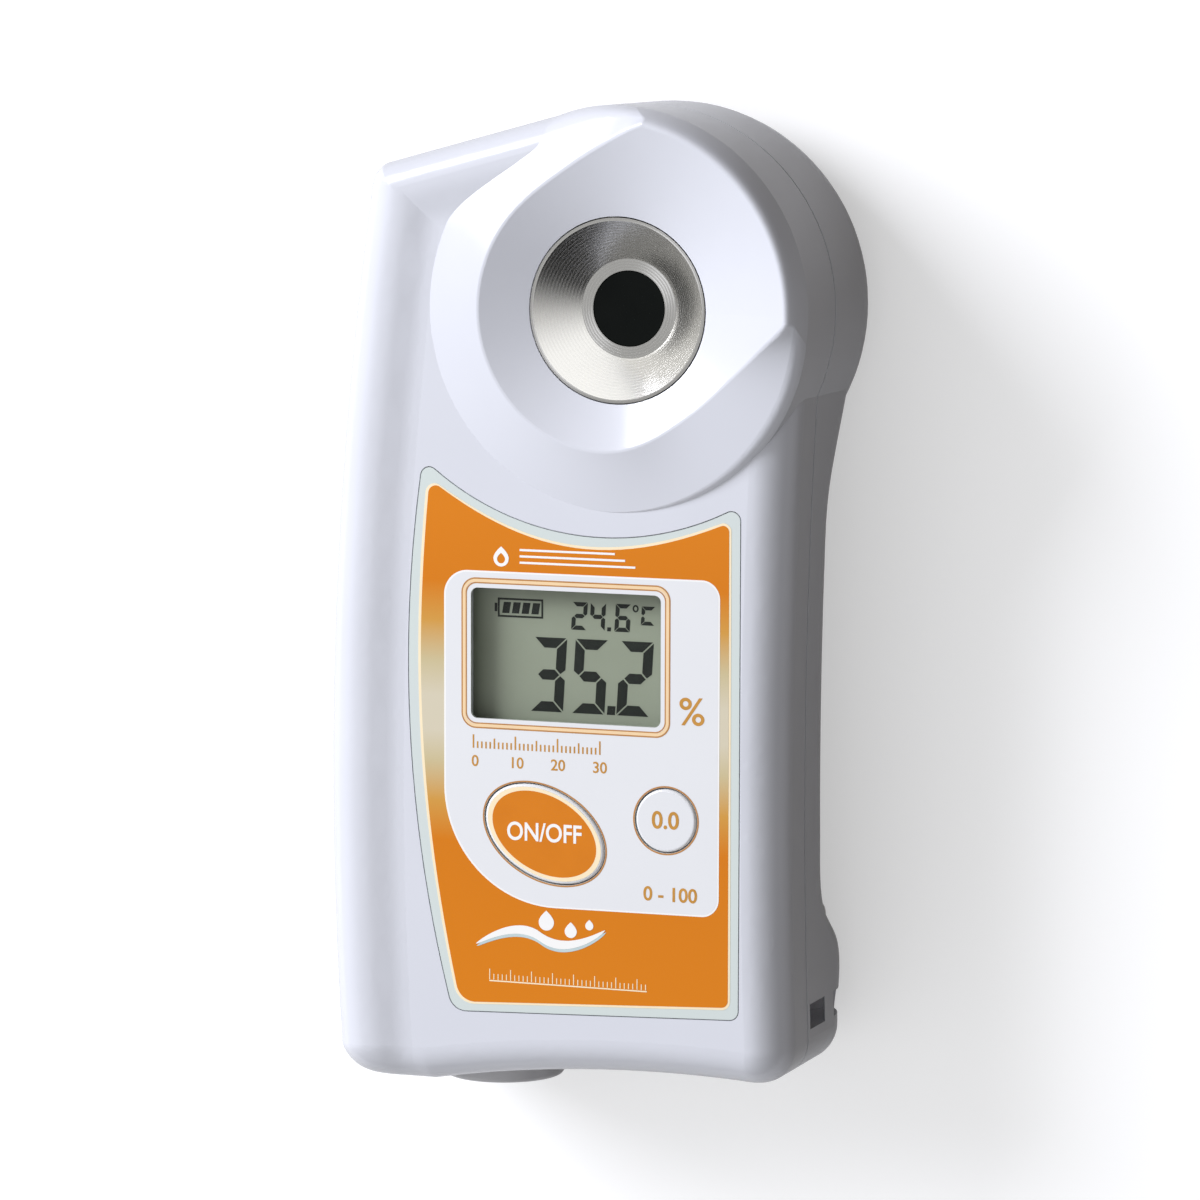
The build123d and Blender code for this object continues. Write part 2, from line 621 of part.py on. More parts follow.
with BuildPart() as rear_case:
    add(outer)
    add(inner, mode=Mode.SUBTRACT)
    add(rear_bosses.part)
    add(cover_frame.part)
    add(strap_block.part)
    add(slab(PARTING_Z - SEAM_GAP / 2, 60), mode=Mode.SUBTRACT)
    add(slab(-20, 0), mode=Mode.SUBTRACT)
    add(opening_cut, mode=Mode.SUBTRACT)
    add(along_y(sleeve_sketch(SLEEVE_FIT), SLEEVE_INNER_Y + 0.3, SLEEVE_FACE_Y), mode=Mode.SUBTRACT)
    add(along_y(cover_sketch(FRAME_MARGIN - 0.2), FRAME_INNER_Y + 2.0, FRAME_INNER_Y), mode=Mode.SUBTRACT)
    add(strap_tunnel.part, mode=Mode.SUBTRACT)
    for x, y in CASE_SCREWS:
        sink_top = max(back_height(y), 0) + CASE_SCREW_SINK
        add(upright(circles([(x, y)], CASE_SCREW_HEAD_R + 0.2), -2, sink_top), mode=Mode.SUBTRACT)
        add(upright(circles([(x, y)], CASE_SCREW_R + 0.15), 0, PARTING_Z), mode=Mode.SUBTRACT)
    add(upright(gasket_plan.sketch, gasket_low, gasket_high + 1), mode=Mode.SUBTRACT)
finish(rear_case, "rear_case")

with BuildPart() as case_gasket:
    add(upright(gasket_plan.sketch, gasket_low, gasket_high))
    add(opening_cut, mode=Mode.SUBTRACT)
finish(case_gasket, "case_gasket")

with BuildPart() as case_screws:
    for x, y in CASE_SCREWS:
        seat_z = max(back_height(y), 0) + CASE_SCREW_SINK
        add(upright(circles([(x, y)], CASE_SCREW_HEAD_R), seat_z - CASE_SCREW_HEAD, seat_z))
        add(upright(circles([(x, y)], CASE_SCREW_R), seat_z, CASE_SCREW_TIP_Z))
        with BuildSketch(Plane.XY.offset(seat_z - CASE_SCREW_HEAD)):
            with Locations((x, y)):
                Rectangle(2.2, 0.5)
                Rectangle(0.5, 2.2)
        extrude(amount=0.8, mode=Mode.SUBTRACT)
finish(case_screws, "case_screws")

# Film, window and keys
with BuildPart() as overlay_panel:
    add(upright(film_sketch(0), film_floor_z, FACE_Z))
    add(upright(view_sketch(0, VIEW_CORNER), film_floor_z - 1, FACE_Z + 1), mode=Mode.SUBTRACT)
    add(upright(ellipse_sketch(KEY_GAP), film_floor_z - 1, FACE_Z + 1), mode=Mode.SUBTRACT)
    add(upright(circles([ZERO_CENTRE], ZERO_R + KEY_GAP), film_floor_z - 1, FACE_Z + 1), mode=Mode.SUBTRACT)
finish(overlay_panel, "overlay_panel")

with BuildPart() as display_window:
    add(upright(view_sketch(WINDOW_MARGIN, VIEW_CORNER), window_floor_z, film_floor_z))
finish(display_window, "display_window")

stem_low_z = board_top_z + 1.6
with BuildPart() as start_key:
    add(upright(ellipse_sketch(0), film_floor_z, FACE_Z + KEY_PROUD))
    fillet(start_key.edges().group_by(Axis.Z)[-1], 0.3)
    add(upright(circles([START_CENTRE], KEY_STEM_R), stem_low_z, film_floor_z))
finish(start_key, "start_key")

with BuildPart() as zero_key:
    add(upright(circles([ZERO_CENTRE], ZERO_R), film_floor_z, FACE_Z + KEY_PROUD))
    fillet(zero_key.edges().group_by(Axis.Z)[-1], 0.3)
    add(upright(circles([ZERO_CENTRE], KEY_STEM_R), stem_low_z, film_floor_z))
finish(zero_key, "zero_key")

for name, (x, y) in (("start_switch", START_CENTRE), ("zero_switch", ZERO_CENTRE)):
    with BuildPart() as switch:
        with BuildSketch(Plane.XY.offset(board_top_z)):
            with Locations((x, y)):
                RectangleRounded(4.6, 4.6, 0.5)
        extrude(amount=0.7)
        add(upright(circles([(x, y)], 1.1), board_top_z + 0.7, stem_low_z - KEY_TRAVEL - 0.05))
    finish(switch, name)

# Display, its holder and its contact strips
with BuildPart() as lcd_glass:
    add(upright(view_sketch(LCD_MARGIN, 0.5), LCD_TOP_Z - LCD_THICK, LCD_TOP_Z - LCD_THICK / 2))
    with BuildSketch(Plane.XY.offset(LCD_TOP_Z - LCD_THICK / 2)):
        with Locations(((VIEW_X[0] + VIEW_X[1]) / 2, (VIEW_Y[0] + VIEW_Y[1]) / 2 + 1.0)):
            Rectangle(VIEW_X[1] - VIEW_X[0] + 2 * LCD_MARGIN, VIEW_Y[1] - VIEW_Y[0] + 2 * LCD_MARGIN - 2.0)
    extrude(amount=LCD_THICK / 2)
finish(lcd_glass, "lcd_glass")

with BuildPart() as lcd_holder:
    add(upright(view_sketch(LCD_MARGIN + 0.1 + HOLDER_WALL, 1.2), board_top_z, HOLDER_TOP_Z))
    add(upright(view_sketch(LCD_MARGIN + 0.1, 0.5), LCD_TOP_Z - LCD_THICK, HOLDER_TOP_Z + 1),
        mode=Mode.SUBTRACT)
    add(upright(view_sketch(-0.4, 0.5), board_top_z - 1, HOLDER_TOP_Z), mode=Mode.SUBTRACT)
finish(lcd_holder, "lcd_holder")

with BuildPart() as contact_strips:
    for y in (VIEW_Y[0] + 1.8, VIEW_Y[1] - 1.8):
        with BuildSketch(Plane.XY.offset(board_top_z)):
            with Locations(((VIEW_X[0] + VIEW_X[1]) / 2, y)):
                Rectangle(20.0, 1.8)
        extrude(amount=LCD_TOP_Z - LCD_THICK - board_top_z)
finish(contact_strips, "contact_strips")

# Main board and its screws
with BuildPart() as main_board:
    with BuildSketch(Plane.XY.offset(BOARD_Z)):
        with Locations(((BOARD_X[0] + BOARD_X[1]) / 2, (BOARD_Y[0] + BOARD_Y[1]) / 2)):
            RectangleRounded(BOARD_X[1] - BOARD_X[0], BOARD_Y[1] - BOARD_Y[0], 2.0)
        with Locations(*BOARD_POSTS):
            Circle(SMALL_SCREW_R + 0.2, mode=Mode.SUBTRACT)
        with Locations(CASE_SCREWS[2]):
            Circle(CASE_BOSS_R + 0.4, mode=Mode.SUBTRACT)
    extrude(amount=BOARD_THICK)
finish(main_board, "main_board")

with BuildPart() as board_chips:
    with BuildSketch(Plane.XY.offset(board_top_z)):
        with Locations((-24.5, -42.0)):
            Rectangle(7.0, 10.0)
        with Locations((-4.0, -70.0)):
            Rectangle(5.0, 5.0)
        with Locations((4.0, -68.0)):
            Rectangle(3.0, 5.0)
    extrude(amount=1.2)
finish(board_chips, "board_chips")

with BuildPart() as board_screws:
    for spot in BOARD_POSTS:
        add(upright(circles([spot], SMALL_SCREW_HEAD_R), BOARD_Z - SMALL_SCREW_HEAD, BOARD_Z))
        add(upright(circles([spot], SMALL_SCREW_R), BOARD_Z, BOARD_Z + 3.4))
finish(board_screws, "board_screws")

# Sample stage, its seal and the prism
floor_z = stage_top_z - STAGE_DEPTH
with BuildPart() as sample_stage:
    with BuildSketch(Plane.XZ):
        Polygon(
            (PRISM_R + PRISM_FIT, floor_z), (STAGE_FLOOR_R, floor_z), (STAGE_R - STAGE_RIM, stage_top_z),
            (STAGE_R, stage_top_z), (STAGE_R, FLANGE_TOP_Z), (FLANGE_R, FLANGE_TOP_Z),
            (FLANGE_R, FLANGE_BOTTOM_Z), (STAGE_R - 1.6, FLANGE_BOTTOM_Z),
            (STAGE_FLOOR_R + 0.6, floor_z - 1.1), (PRISM_R + PRISM_FIT, floor_z - 1.1),
            align=None,
        )
    revolve(axis=Axis.Z)
finish(sample_stage, "sample_stage")

with BuildPart() as stage_seal:
    with BuildSketch(Plane.XY.offset(FLANGE_TOP_Z)):
        Circle(FLANGE_R)
        Circle(DISH_R + 0.1, mode=Mode.SUBTRACT)
    extrude(amount=SEAL_THICK)
finish(stage_seal, "stage_seal")

with BuildPart() as prism:
    with BuildSketch(Plane.XY.offset(floor_z - 1.2)):
        Circle(PRISM_R)
    extrude(amount=1.15)
    with BuildSketch(Plane.XZ.offset(-4.0)):
        Polygon((-4.6, floor_z - 1.2), (4.6, floor_z - 1.2), (1.4, 15.6), (-1.4, 15.6), align=None)
    extrude(amount=8.0)
finish(prism, "prism")

# Optical block, and the light source and sensor on its sloped faces
left_port = Plane(origin=(-LIGHT_PORT[0], 0, LIGHT_PORT[1]), x_dir=(0, 1, 0), z_dir=(-1, 0, -1))
right_port = Plane(origin=(LIGHT_PORT[0], 0, LIGHT_PORT[1]), x_dir=(0, 1, 0), z_dir=(1, 0, -1))
with BuildPart() as optical_block:
    with BuildSketch(Plane.XZ.offset(-BLOCK_HALF_DEPTH)):
        Polygon(*BLOCK_PROFILE, align=None)
    extrude(amount=2 * BLOCK_HALF_DEPTH)
    with BuildSketch(Plane.XY.offset(BLOCK_TOP_Z - BLOCK_PLATE)):
        Circle(BLOCK_PLATE_R)
        with PolarLocations(BLOCK_SCREW_CIRCLE, 4, start_angle=45):
            Circle(SMALL_SCREW_R + 0.2, mode=Mode.SUBTRACT)
    extrude(amount=BLOCK_PLATE)
    with BuildSketch(Plane.XY.offset(14.8)):
        Rectangle(10.4, 8.8)
    extrude(amount=8.0, mode=Mode.SUBTRACT)
    for port in (left_port, right_port):
        with BuildSketch(port):
            Circle(LIGHT_PATH_R)
        extrude(amount=-9.6, mode=Mode.SUBTRACT)
    with BuildSketch(Plane.XY.offset(BLOCK_TOP_Z - 1.0)):
        with Locations((0, 7.4)):
            Rectangle(4.0, 2.0)
    extrude(amount=1.0, mode=Mode.SUBTRACT)
finish(optical_block, "optical_block")

with BuildPart() as block_screws:
    with BuildSketch(Plane.XY.offset(BLOCK_TOP_Z - BLOCK_PLATE - 0.9)):
        with PolarLocations(BLOCK_SCREW_CIRCLE, 4, start_angle=45):
            Circle(SMALL_SCREW_HEAD_R)
    extrude(amount=0.9)
    with BuildSketch(Plane.XY.offset(BLOCK_TOP_Z - BLOCK_PLATE)):
        with PolarLocations(BLOCK_SCREW_CIRCLE, 4, start_angle=45):
            Circle(SMALL_SCREW_R)
    extrude(amount=5.0)
finish(block_screws, "block_screws")

for board_name, port in (("light_board", left_port), ("sensor_board", right_port)):
    with BuildPart() as optic_board:
        with BuildSketch(port):
            Rectangle(OPTIC_BOARD[0], OPTIC_BOARD[1])
        extrude(amount=OPTIC_BOARD[2])
    finish(optic_board, board_name)

with BuildPart() as light_source:
    with BuildSketch(left_port):
        Circle(1.5)
    extrude(amount=-1.2)
    fillet(light_source.faces().sort_by(Axis.X)[-1].edges(), 0.9)
finish(light_source, "light_source")

with BuildPart() as line_sensor:
    with BuildSketch(right_port):
        Rectangle(4.4, 2.0)
    extrude(amount=-0.9)
finish(line_sensor, "line_sensor")

LENS_R = LIGHT_PATH_R - 0.05
for lens_name, port, depth in (("source_lens", left_port, 4.0), ("imaging_lens", right_port, 5.0)):
    with BuildPart() as lens:
        with BuildSketch(port.offset(-depth)):
            Circle(LENS_R)
        extrude(amount=1.6)
        fillet(lens.edges(), 0.5)
    finish(lens, lens_name)

with BuildPart() as temperature_sensor:
    with BuildSketch(Plane.XY.offset(BLOCK_TOP_Z - 1.0)):
        with Locations((0, 7.4)):
            Rectangle(2.4, 1.4)
    extrude(amount=0.95)
finish(temperature_sensor, "temperature_sensor")

with BuildPart() as sensor_ribbon:
    with BuildSketch(Plane.YZ.offset(10.35)):
        with BuildLine():
            path = FilletPolyline((-OPTIC_BOARD[0] / 2, 6.2), (-12.0, 6.2), (-20.0, 20.18), (-30.3, 20.18),
                                  radius=1.5)
            offset(path, amount=0.12, side=Side.LEFT)
        make_face()
    extrude(amount=2.0)
finish(sensor_ribbon, "sensor_ribbon")

# Battery sleeve, its gasket, the springs and the two cells
cell_spots = [(x, CELL_Z) for x in CELL_XS]
with BuildPart() as battery_sleeve:
    add(along_y(cover_sketch(FRAME_MARGIN - 0.4), SLEEVE_FACE_Y + SLEEVE_FLANGE, SLEEVE_FACE_Y))
    add(along_y(sleeve_sketch(0), SLEEVE_INNER_Y, SLEEVE_FACE_Y))
    with BuildSketch(Plane.XZ.offset(-SLEEVE_FACE_Y)):
        with Locations((LOCK_X, LOCK_Z)):
            Circle(LOCK_BOSS_R)
    extrude(amount=SLEEVE_FACE_Y - LOCK_STEM_END_Y - 1.6)
    with BuildSketch(Plane.XZ.offset(-SLEEVE_FACE_Y)):
        with Locations(*cell_spots):
            Circle(BORE_R)
        with Locations(((CELL_XS[0] + CELL_XS[1]) / 2, CELL_Z)):
            Rectangle(2.6, 6.0)
    extrude(amount=SLEEVE_FACE_Y - SLEEVE_INNER_Y + 1.0, mode=Mode.SUBTRACT)
    with BuildSketch(Plane.XZ.offset(-SLEEVE_FACE_Y)):
        with Locations((LOCK_X, LOCK_Z)):
            Circle(LOCK_STEM_R + LOCK_STEM_GAP)
    extrude(amount=SLEEVE_FACE_Y - LOCK_STEM_END_Y - 0.4, mode=Mode.SUBTRACT)
finish(battery_sleeve, "battery_sleeve")

with BuildPart() as sleeve_gasket:
    add(along_y(cover_sketch(FRAME_MARGIN - 0.4), SLEEVE_FACE_Y, FRAME_INNER_Y))
    add(along_y(cover_sketch(0.4), SLEEVE_FACE_Y + 1, FRAME_INNER_Y - 1), mode=Mode.SUBTRACT)
finish(sleeve_gasket, "sleeve_gasket")

with BuildPart() as terminal_springs:
    spring_top = SLEEVE_INNER_Y - 1.0
    with BuildSketch(Plane.XZ.offset(-spring_top)):
        with Locations(*cell_spots):
            Circle(3.4)
            Circle(2.4, mode=Mode.SUBTRACT)
    extrude(amount=SPRING_LENGTH - 0.1, taper=8)
finish(terminal_springs, "terminal_springs")

for cell_name, x, nub_side in (("cell_left", CELL_XS[0], 1), ("cell_right", CELL_XS[1], -1)):
    body_start = CELL_END_Y + (CELL_NUB if nub_side < 0 else 0.0)
    body_length = CELL_LENGTH - CELL_NUB
    with BuildPart() as cell:
        with BuildSketch(Plane.XZ.offset(-body_start)):
            with Locations((x, CELL_Z)):
                Circle(CELL_R)
        extrude(amount=-body_length)
        fillet(cell.edges().filter_by(GeomType.CIRCLE), 0.5)
        nub_y = body_start + body_length if nub_side > 0 else body_start
        with BuildSketch(Plane.XZ.offset(-nub_y)):
            with Locations((x, CELL_Z)):
                Circle(CELL_NUB_R)
        extrude(amount=-nub_side * CELL_NUB)
    finish(cell, cell_name)

# Battery cover, its seal and contact, and the coin lock
with BuildPart() as battery_cover:
    add(along_y(cover_sketch(0), COVER_INNER_Y, BOTTOM_Y - 2.0))
    add(outer, mode=Mode.INTERSECT)
    with BuildSketch(Plane.XZ.offset(-(LOCK_END_Y + LOCK_HEAD + 0.1))):
        with Locations((LOCK_X, LOCK_Z)):
            Circle(LOCK_R + 0.2)
    extrude(amount=10, mode=Mode.SUBTRACT)
    with BuildSketch(Plane.XZ.offset(-COVER_INNER_Y)):
        with Locations((LOCK_X, LOCK_Z)):
            Circle(LOCK_STEM_R + LOCK_STEM_GAP)
    extrude(amount=10, mode=Mode.SUBTRACT)
finish(battery_cover, "battery_cover")

with BuildPart() as cover_seal:
    add(along_y(cover_sketch(-0.3), SLEEVE_FACE_Y, COVER_INNER_Y))
    add(along_y(cover_sketch(-1.3), SLEEVE_FACE_Y + 1, COVER_INNER_Y - 1), mode=Mode.SUBTRACT)
finish(cover_seal, "cover_seal")

with BuildPart() as cover_contact:
    with BuildSketch(Plane.XZ.offset(-COVER_INNER_Y)):
        with Locations(((CELL_XS[0] + CELL_XS[1]) / 2, CELL_Z)):
            RectangleRounded(18.0, 6.0, 1.0)
    extrude(amount=-0.3)
    with BuildSketch(Plane.XZ.offset(-COVER_INNER_Y - 0.3)):
        with Locations(*cell_spots):
            Circle(1.6)
    extrude(amount=-(CELL_END_Y - COVER_INNER_Y - 0.35), taper=25)
finish(cover_contact, "cover_contact")

with BuildPart() as battery_lock:
    with BuildSketch(Plane.XZ.offset(-LOCK_END_Y)):
        with Locations((LOCK_X, LOCK_Z)):
            Circle(LOCK_R)
    extrude(amount=-LOCK_HEAD)
    fillet(battery_lock.edges().sort_by(Axis.Y)[0], 0.5)
    with BuildSketch(Plane.XZ.offset(-LOCK_END_Y)):
        with Locations((LOCK_X, LOCK_Z)):
            SlotOverall(COIN_SLOT[0], COIN_SLOT[1])
    extrude(amount=-COIN_SLOT[2], mode=Mode.SUBTRACT)
    with BuildSketch(Plane.XZ.offset(-LOCK_END_Y - LOCK_HEAD)):
        with Locations((LOCK_X, LOCK_Z)):
            Circle(LOCK_STEM_R)
    extrude(amount=LOCK_END_Y + LOCK_HEAD - LOCK_STEM_END_Y)
finish(battery_lock, "battery_lock")
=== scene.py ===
"""Looks of a pocket digital refractometer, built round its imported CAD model.

Everything is in metres, in the CAD frame: the origin is on the table under the centre of the sample
stage, X is to the right of the face, Y towards the stage end and Z out of the face. The print and the
patterns are given in millimetres and scaled where they are made.
"""

from math import atan, cos, pi, radians, sin, tan

import bmesh
import bpy
from mathutils import Matrix, Vector


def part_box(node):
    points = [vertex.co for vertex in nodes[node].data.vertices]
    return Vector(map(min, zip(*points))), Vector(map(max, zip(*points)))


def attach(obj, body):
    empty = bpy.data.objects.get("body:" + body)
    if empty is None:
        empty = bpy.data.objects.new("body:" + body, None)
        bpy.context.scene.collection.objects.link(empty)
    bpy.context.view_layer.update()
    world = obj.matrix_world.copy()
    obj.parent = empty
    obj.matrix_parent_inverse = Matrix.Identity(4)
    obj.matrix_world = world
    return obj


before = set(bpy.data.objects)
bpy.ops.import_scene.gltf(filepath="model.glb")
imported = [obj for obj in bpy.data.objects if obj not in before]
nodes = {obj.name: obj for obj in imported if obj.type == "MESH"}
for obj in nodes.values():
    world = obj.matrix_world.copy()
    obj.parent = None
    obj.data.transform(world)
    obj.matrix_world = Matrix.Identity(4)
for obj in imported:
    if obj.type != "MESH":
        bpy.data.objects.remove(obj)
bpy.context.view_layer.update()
scene = bpy.context.scene

MM = 0.001

# Materials

# Most of a noise texture's values lie between these two.
NOISE_LOW, NOISE_HIGH = 0.3, 0.7
# Distance between the rings of a wave texture at scale 1.
RING_SPACING = 0.31


def node(tree, kind, inputs=None, **settings):
    """A new shader node with its settings and unlinked inputs filled in."""
    made = tree.nodes.new(kind)
    for name, value in settings.items():
        setattr(made, name, value)
    for name, value in (inputs or {}).items():
        made.inputs[name].default_value = value
    return made


def shader_of(material):
    return material.node_tree.nodes["Principled BSDF"]


def finish(name, colour, rough, metal=0.0, **shader_inputs):
    """A Principled material. An underscore in a keyword stands for a space in the input's name."""
    material = bpy.data.materials.new(name)
    material.use_nodes = True
    shader = shader_of(material)
    shader.inputs["Base Color"].default_value = (*colour, 1.0)
    shader.inputs["Roughness"].default_value = rough
    shader.inputs["Metallic"].default_value = metal
    for socket, value in shader_inputs.items():
        shader.inputs[socket.replace("_", " ")].default_value = value
    return material


def place(material):
    """Object coordinates in millimetres."""
    tree = material.node_tree
    coords = node(tree, "ShaderNodeTexCoord")
    mapping = node(tree, "ShaderNodeMapping", {"Scale": (1.0 / MM, 1.0 / MM, 1.0 / MM)})
    tree.links.new(coords.outputs["Object"], mapping.inputs["Vector"])
    return mapping.outputs["Vector"]


def noise_of(material, size, detail):
    """Noise in patches this many millimetres across."""
    tree = material.node_tree
    noise = node(tree, "ShaderNodeTexNoise", {"Scale": 1.0 / size, "Detail": detail})
    tree.links.new(place(material), noise.inputs["Vector"])
    return noise.outputs["Fac"]


def mottle(material, pale, dark, size, detail=3.0):
    """Slow colour variation between two colours."""
    tree = material.node_tree
    ramp = node(tree, "ShaderNodeValToRGB")
    stops = ramp.color_ramp.elements
    stops[0].color, stops[1].color = (*dark, 1.0), (*pale, 1.0)
    stops[0].position, stops[1].position = NOISE_LOW, NOISE_HIGH
    tree.links.new(noise_of(material, size, detail), ramp.inputs["Fac"])
    tree.links.new(ramp.outputs["Color"], shader_of(material).inputs["Base Color"])


def vary_rough(material, low, high, size):
    """Roughness that drifts between two values."""
    tree = material.node_tree
    spread = node(tree, "ShaderNodeMapRange",
                  {"From Min": NOISE_LOW, "From Max": NOISE_HIGH, "To Min": low, "To Max": high})
    tree.links.new(noise_of(material, size, 2.0), spread.inputs["Value"])
    tree.links.new(spread.outputs["Result"], shader_of(material).inputs["Roughness"])


def grain(material, size, depth):
    """Fine bump of this size and depth in millimetres."""
    tree = material.node_tree
    bump = node(tree, "ShaderNodeBump", {"Strength": 1.0, "Distance": depth * MM})
    tree.links.new(noise_of(material, size, 3.0), bump.inputs["Height"])
    tree.links.new(bump.outputs["Normal"], shader_of(material).inputs["Normal"])


def turned_rings(material, pitch, low, high):
    """Rings round the Z axis that a lathe tool left this far apart, duller and brighter in turn."""
    tree = material.node_tree
    wave_rings = node(tree, "ShaderNodeTexWave",
                      {"Scale": RING_SPACING / pitch, "Distortion": 0.8, "Detail": 1.0},
                      wave_type="RINGS", rings_direction="Z")
    spread = node(tree, "ShaderNodeMapRange", {"To Min": low, "To Max": high})
    tree.links.new(place(material), wave_rings.inputs["Vector"])
    tree.links.new(wave_rings.outputs["Fac"], spread.inputs["Value"])
    tree.links.new(spread.outputs["Result"], shader_of(material).inputs["Roughness"])


def turned_round(material):
    """Turning marks that run round the Z axis, which draw highlights out into rays."""
    tree = material.node_tree
    coords = node(tree, "ShaderNodeTexCoord")
    along = node(tree, "ShaderNodeVectorMath", {1: (0.0, 0.0, -1.0)}, operation="CROSS_PRODUCT")
    tree.links.new(coords.outputs["Object"], along.inputs[0])
    tree.links.new(along.outputs["Vector"], shader_of(material).inputs["Tangent"])


def either(tree, first, second):
    """1 where the first or the second test of a ray is 1."""
    larger = node(tree, "ShaderNodeMath", operation="MAXIMUM")
    tree.links.new(first, larger.inputs[0])
    tree.links.new(second, larger.inputs[1])
    return larger.outputs[0]


def see_through(material):
    """Lets light reach what is behind a clear piece."""
    tree = material.node_tree
    rays = node(tree, "ShaderNodeLightPath").outputs
    open_pane = node(tree, "ShaderNodeBsdfTransparent")
    mix = node(tree, "ShaderNodeMixShader")
    tree.links.new(either(tree, rays["Is Shadow Ray"], rays["Is Diffuse Ray"]), mix.inputs["Fac"])
    tree.links.new(shader_of(material).outputs["BSDF"], mix.inputs[1])
    tree.links.new(open_pane.outputs["BSDF"], mix.inputs[2])
    tree.links.new(mix.outputs["Shader"], tree.nodes["Material Output"].inputs["Surface"])


def bands(material, stops, low, high, blend="LINEAR"):
    """Colours along Y between two places in millimetres. A stop is (0 to 1, colour)."""
    tree = material.node_tree
    split = node(tree, "ShaderNodeSeparateXYZ")
    spread = node(tree, "ShaderNodeMapRange", {"From Min": low, "From Max": high})
    ramp = node(tree, "ShaderNodeValToRGB")
    ramp.color_ramp.interpolation = blend
    stripes = ramp.color_ramp.elements
    for stripe, (position, colour) in zip(stripes, (stops[0], stops[-1])):
        stripe.position, stripe.color = position, (*colour, 1.0)
    for position, colour in stops[1:-1]:
        stripes.new(position).color = (*colour, 1.0)
    tree.links.new(place(material), split.inputs["Vector"])
    tree.links.new(split.outputs["Y"], spread.inputs["Value"])
    tree.links.new(spread.outputs["Result"], ramp.inputs["Fac"])
    tree.links.new(ramp.outputs["Color"], shader_of(material).inputs["Base Color"])


ORANGE = (0.66, 0.198, 0.005)
DEEP_ORANGE = (0.63, 0.185, 0.004)
PALE_ORANGE = (0.85, 0.62, 0.36)
GOLD = (0.6, 0.3, 0.055)
PALE_GOLD = (0.62, 0.56, 0.42)
CREAM = (0.56, 0.47, 0.27)
PRINT_WHITE = (0.735, 0.74, 0.75)
PRINT_WHITE_DIM = (0.725, 0.73, 0.74)
BORDER = (0.6, 0.66, 0.63)

case_plastic = finish("case_plastic", (0.64, 0.65, 0.695), rough=0.17)
mottle(case_plastic, (0.645, 0.655, 0.70), (0.63, 0.64, 0.685), size=14.0)
vary_rough(case_plastic, low=0.15, high=0.2, size=6.0)
grain(case_plastic, size=0.5, depth=0.002)

grey_rubber = finish("grey_rubber", (0.16, 0.16, 0.17), rough=0.7)
mottle(grey_rubber, (0.17, 0.17, 0.18), (0.13, 0.13, 0.14), size=2.0)
grain(grey_rubber, size=0.15, depth=0.01)

screw_steel = finish("screw_steel", (0.55, 0.54, 0.52), rough=0.32, metal=1.0)
vary_rough(screw_steel, low=0.25, high=0.4, size=0.5)
grain(screw_steel, size=0.1, depth=0.004)

film_border = finish("film_border", BORDER, rough=0.12)
mottle(film_border, BORDER, (0.6, 0.65, 0.63), size=6.0)

film_orange = finish("film_orange", ORANGE, rough=0.14)
bands(film_orange, [
    (0.0, ORANGE), (0.33, DEEP_ORANGE), (0.41, GOLD), (0.49, CREAM), (0.55, PALE_GOLD),
    (0.62, PALE_GOLD), (0.69, CREAM), (0.77, GOLD), (0.85, DEEP_ORANGE), (1.0, ORANGE),
], low=-78.0, high=-22.0)

film_white = finish("film_white", PRINT_WHITE, rough=0.14)
mottle(film_white, PRINT_WHITE, PRINT_WHITE_DIM, size=10.0)

key_film = finish("key_film", PRINT_WHITE, rough=0.14)
mottle(key_film, PRINT_WHITE, PRINT_WHITE_DIM, size=10.0)

for film in (film_border, film_orange, film_white, key_film):
    grain(film, size=1.5, depth=0.003)


def ink(name, colour, pale, dark, size=3.0):
    """A glossy printing ink that varies a little between two colours."""
    material = finish(name, colour, rough=0.2)
    mottle(material, pale, dark, size)
    return material


ink_orange = ink("ink_orange", ORANGE, ORANGE, DEEP_ORANGE)
ink_brown = ink("ink_brown", (0.48, 0.23, 0.07), (0.5, 0.24, 0.075), (0.44, 0.2, 0.06))
ink_gold = ink("ink_gold", (0.55, 0.27, 0.05), (0.57, 0.28, 0.055), (0.5, 0.24, 0.04), size=2.0)
ink_pale = ink("ink_pale", PALE_ORANGE, PALE_ORANGE, (0.82, 0.6, 0.36))
ink_white = ink("ink_white", (0.86, 0.85, 0.82), (0.86, 0.85, 0.82), (0.84, 0.83, 0.81))
ink_cream = ink("ink_cream", (0.9, 0.75, 0.5), (0.9, 0.76, 0.52), (0.88, 0.73, 0.48))
ink_shade = ink("ink_shade", (0.5, 0.6, 0.6), (0.52, 0.62, 0.62), (0.46, 0.56, 0.56))

display_window = finish("display_window", (1.0, 1.0, 1.0), rough=0.0, IOR=1.3, Transmission_Weight=1.0)
see_through(display_window)
clear_glass = finish("clear_glass", (0.97, 0.99, 1.0), rough=0.0, IOR=1.5, Transmission_Weight=1.0)
see_through(clear_glass)

black_plastic = finish("black_plastic", (0.02, 0.02, 0.021), rough=0.45)
mottle(black_plastic, (0.024, 0.024, 0.025), (0.016, 0.016, 0.017), size=3.0)
grain(black_plastic, size=0.25, depth=0.01)

display_glass = finish("display_glass", (0.245, 0.275, 0.2), rough=0.35)
mottle(display_glass, (0.25, 0.28, 0.205), (0.24, 0.27, 0.195), size=5.0)
display_segment = finish("display_segment", (0.006, 0.009, 0.006), rough=0.4, Specular_IOR_Level=0.2)
mottle(display_segment, (0.007, 0.01, 0.007), (0.005, 0.008, 0.005), size=1.0)

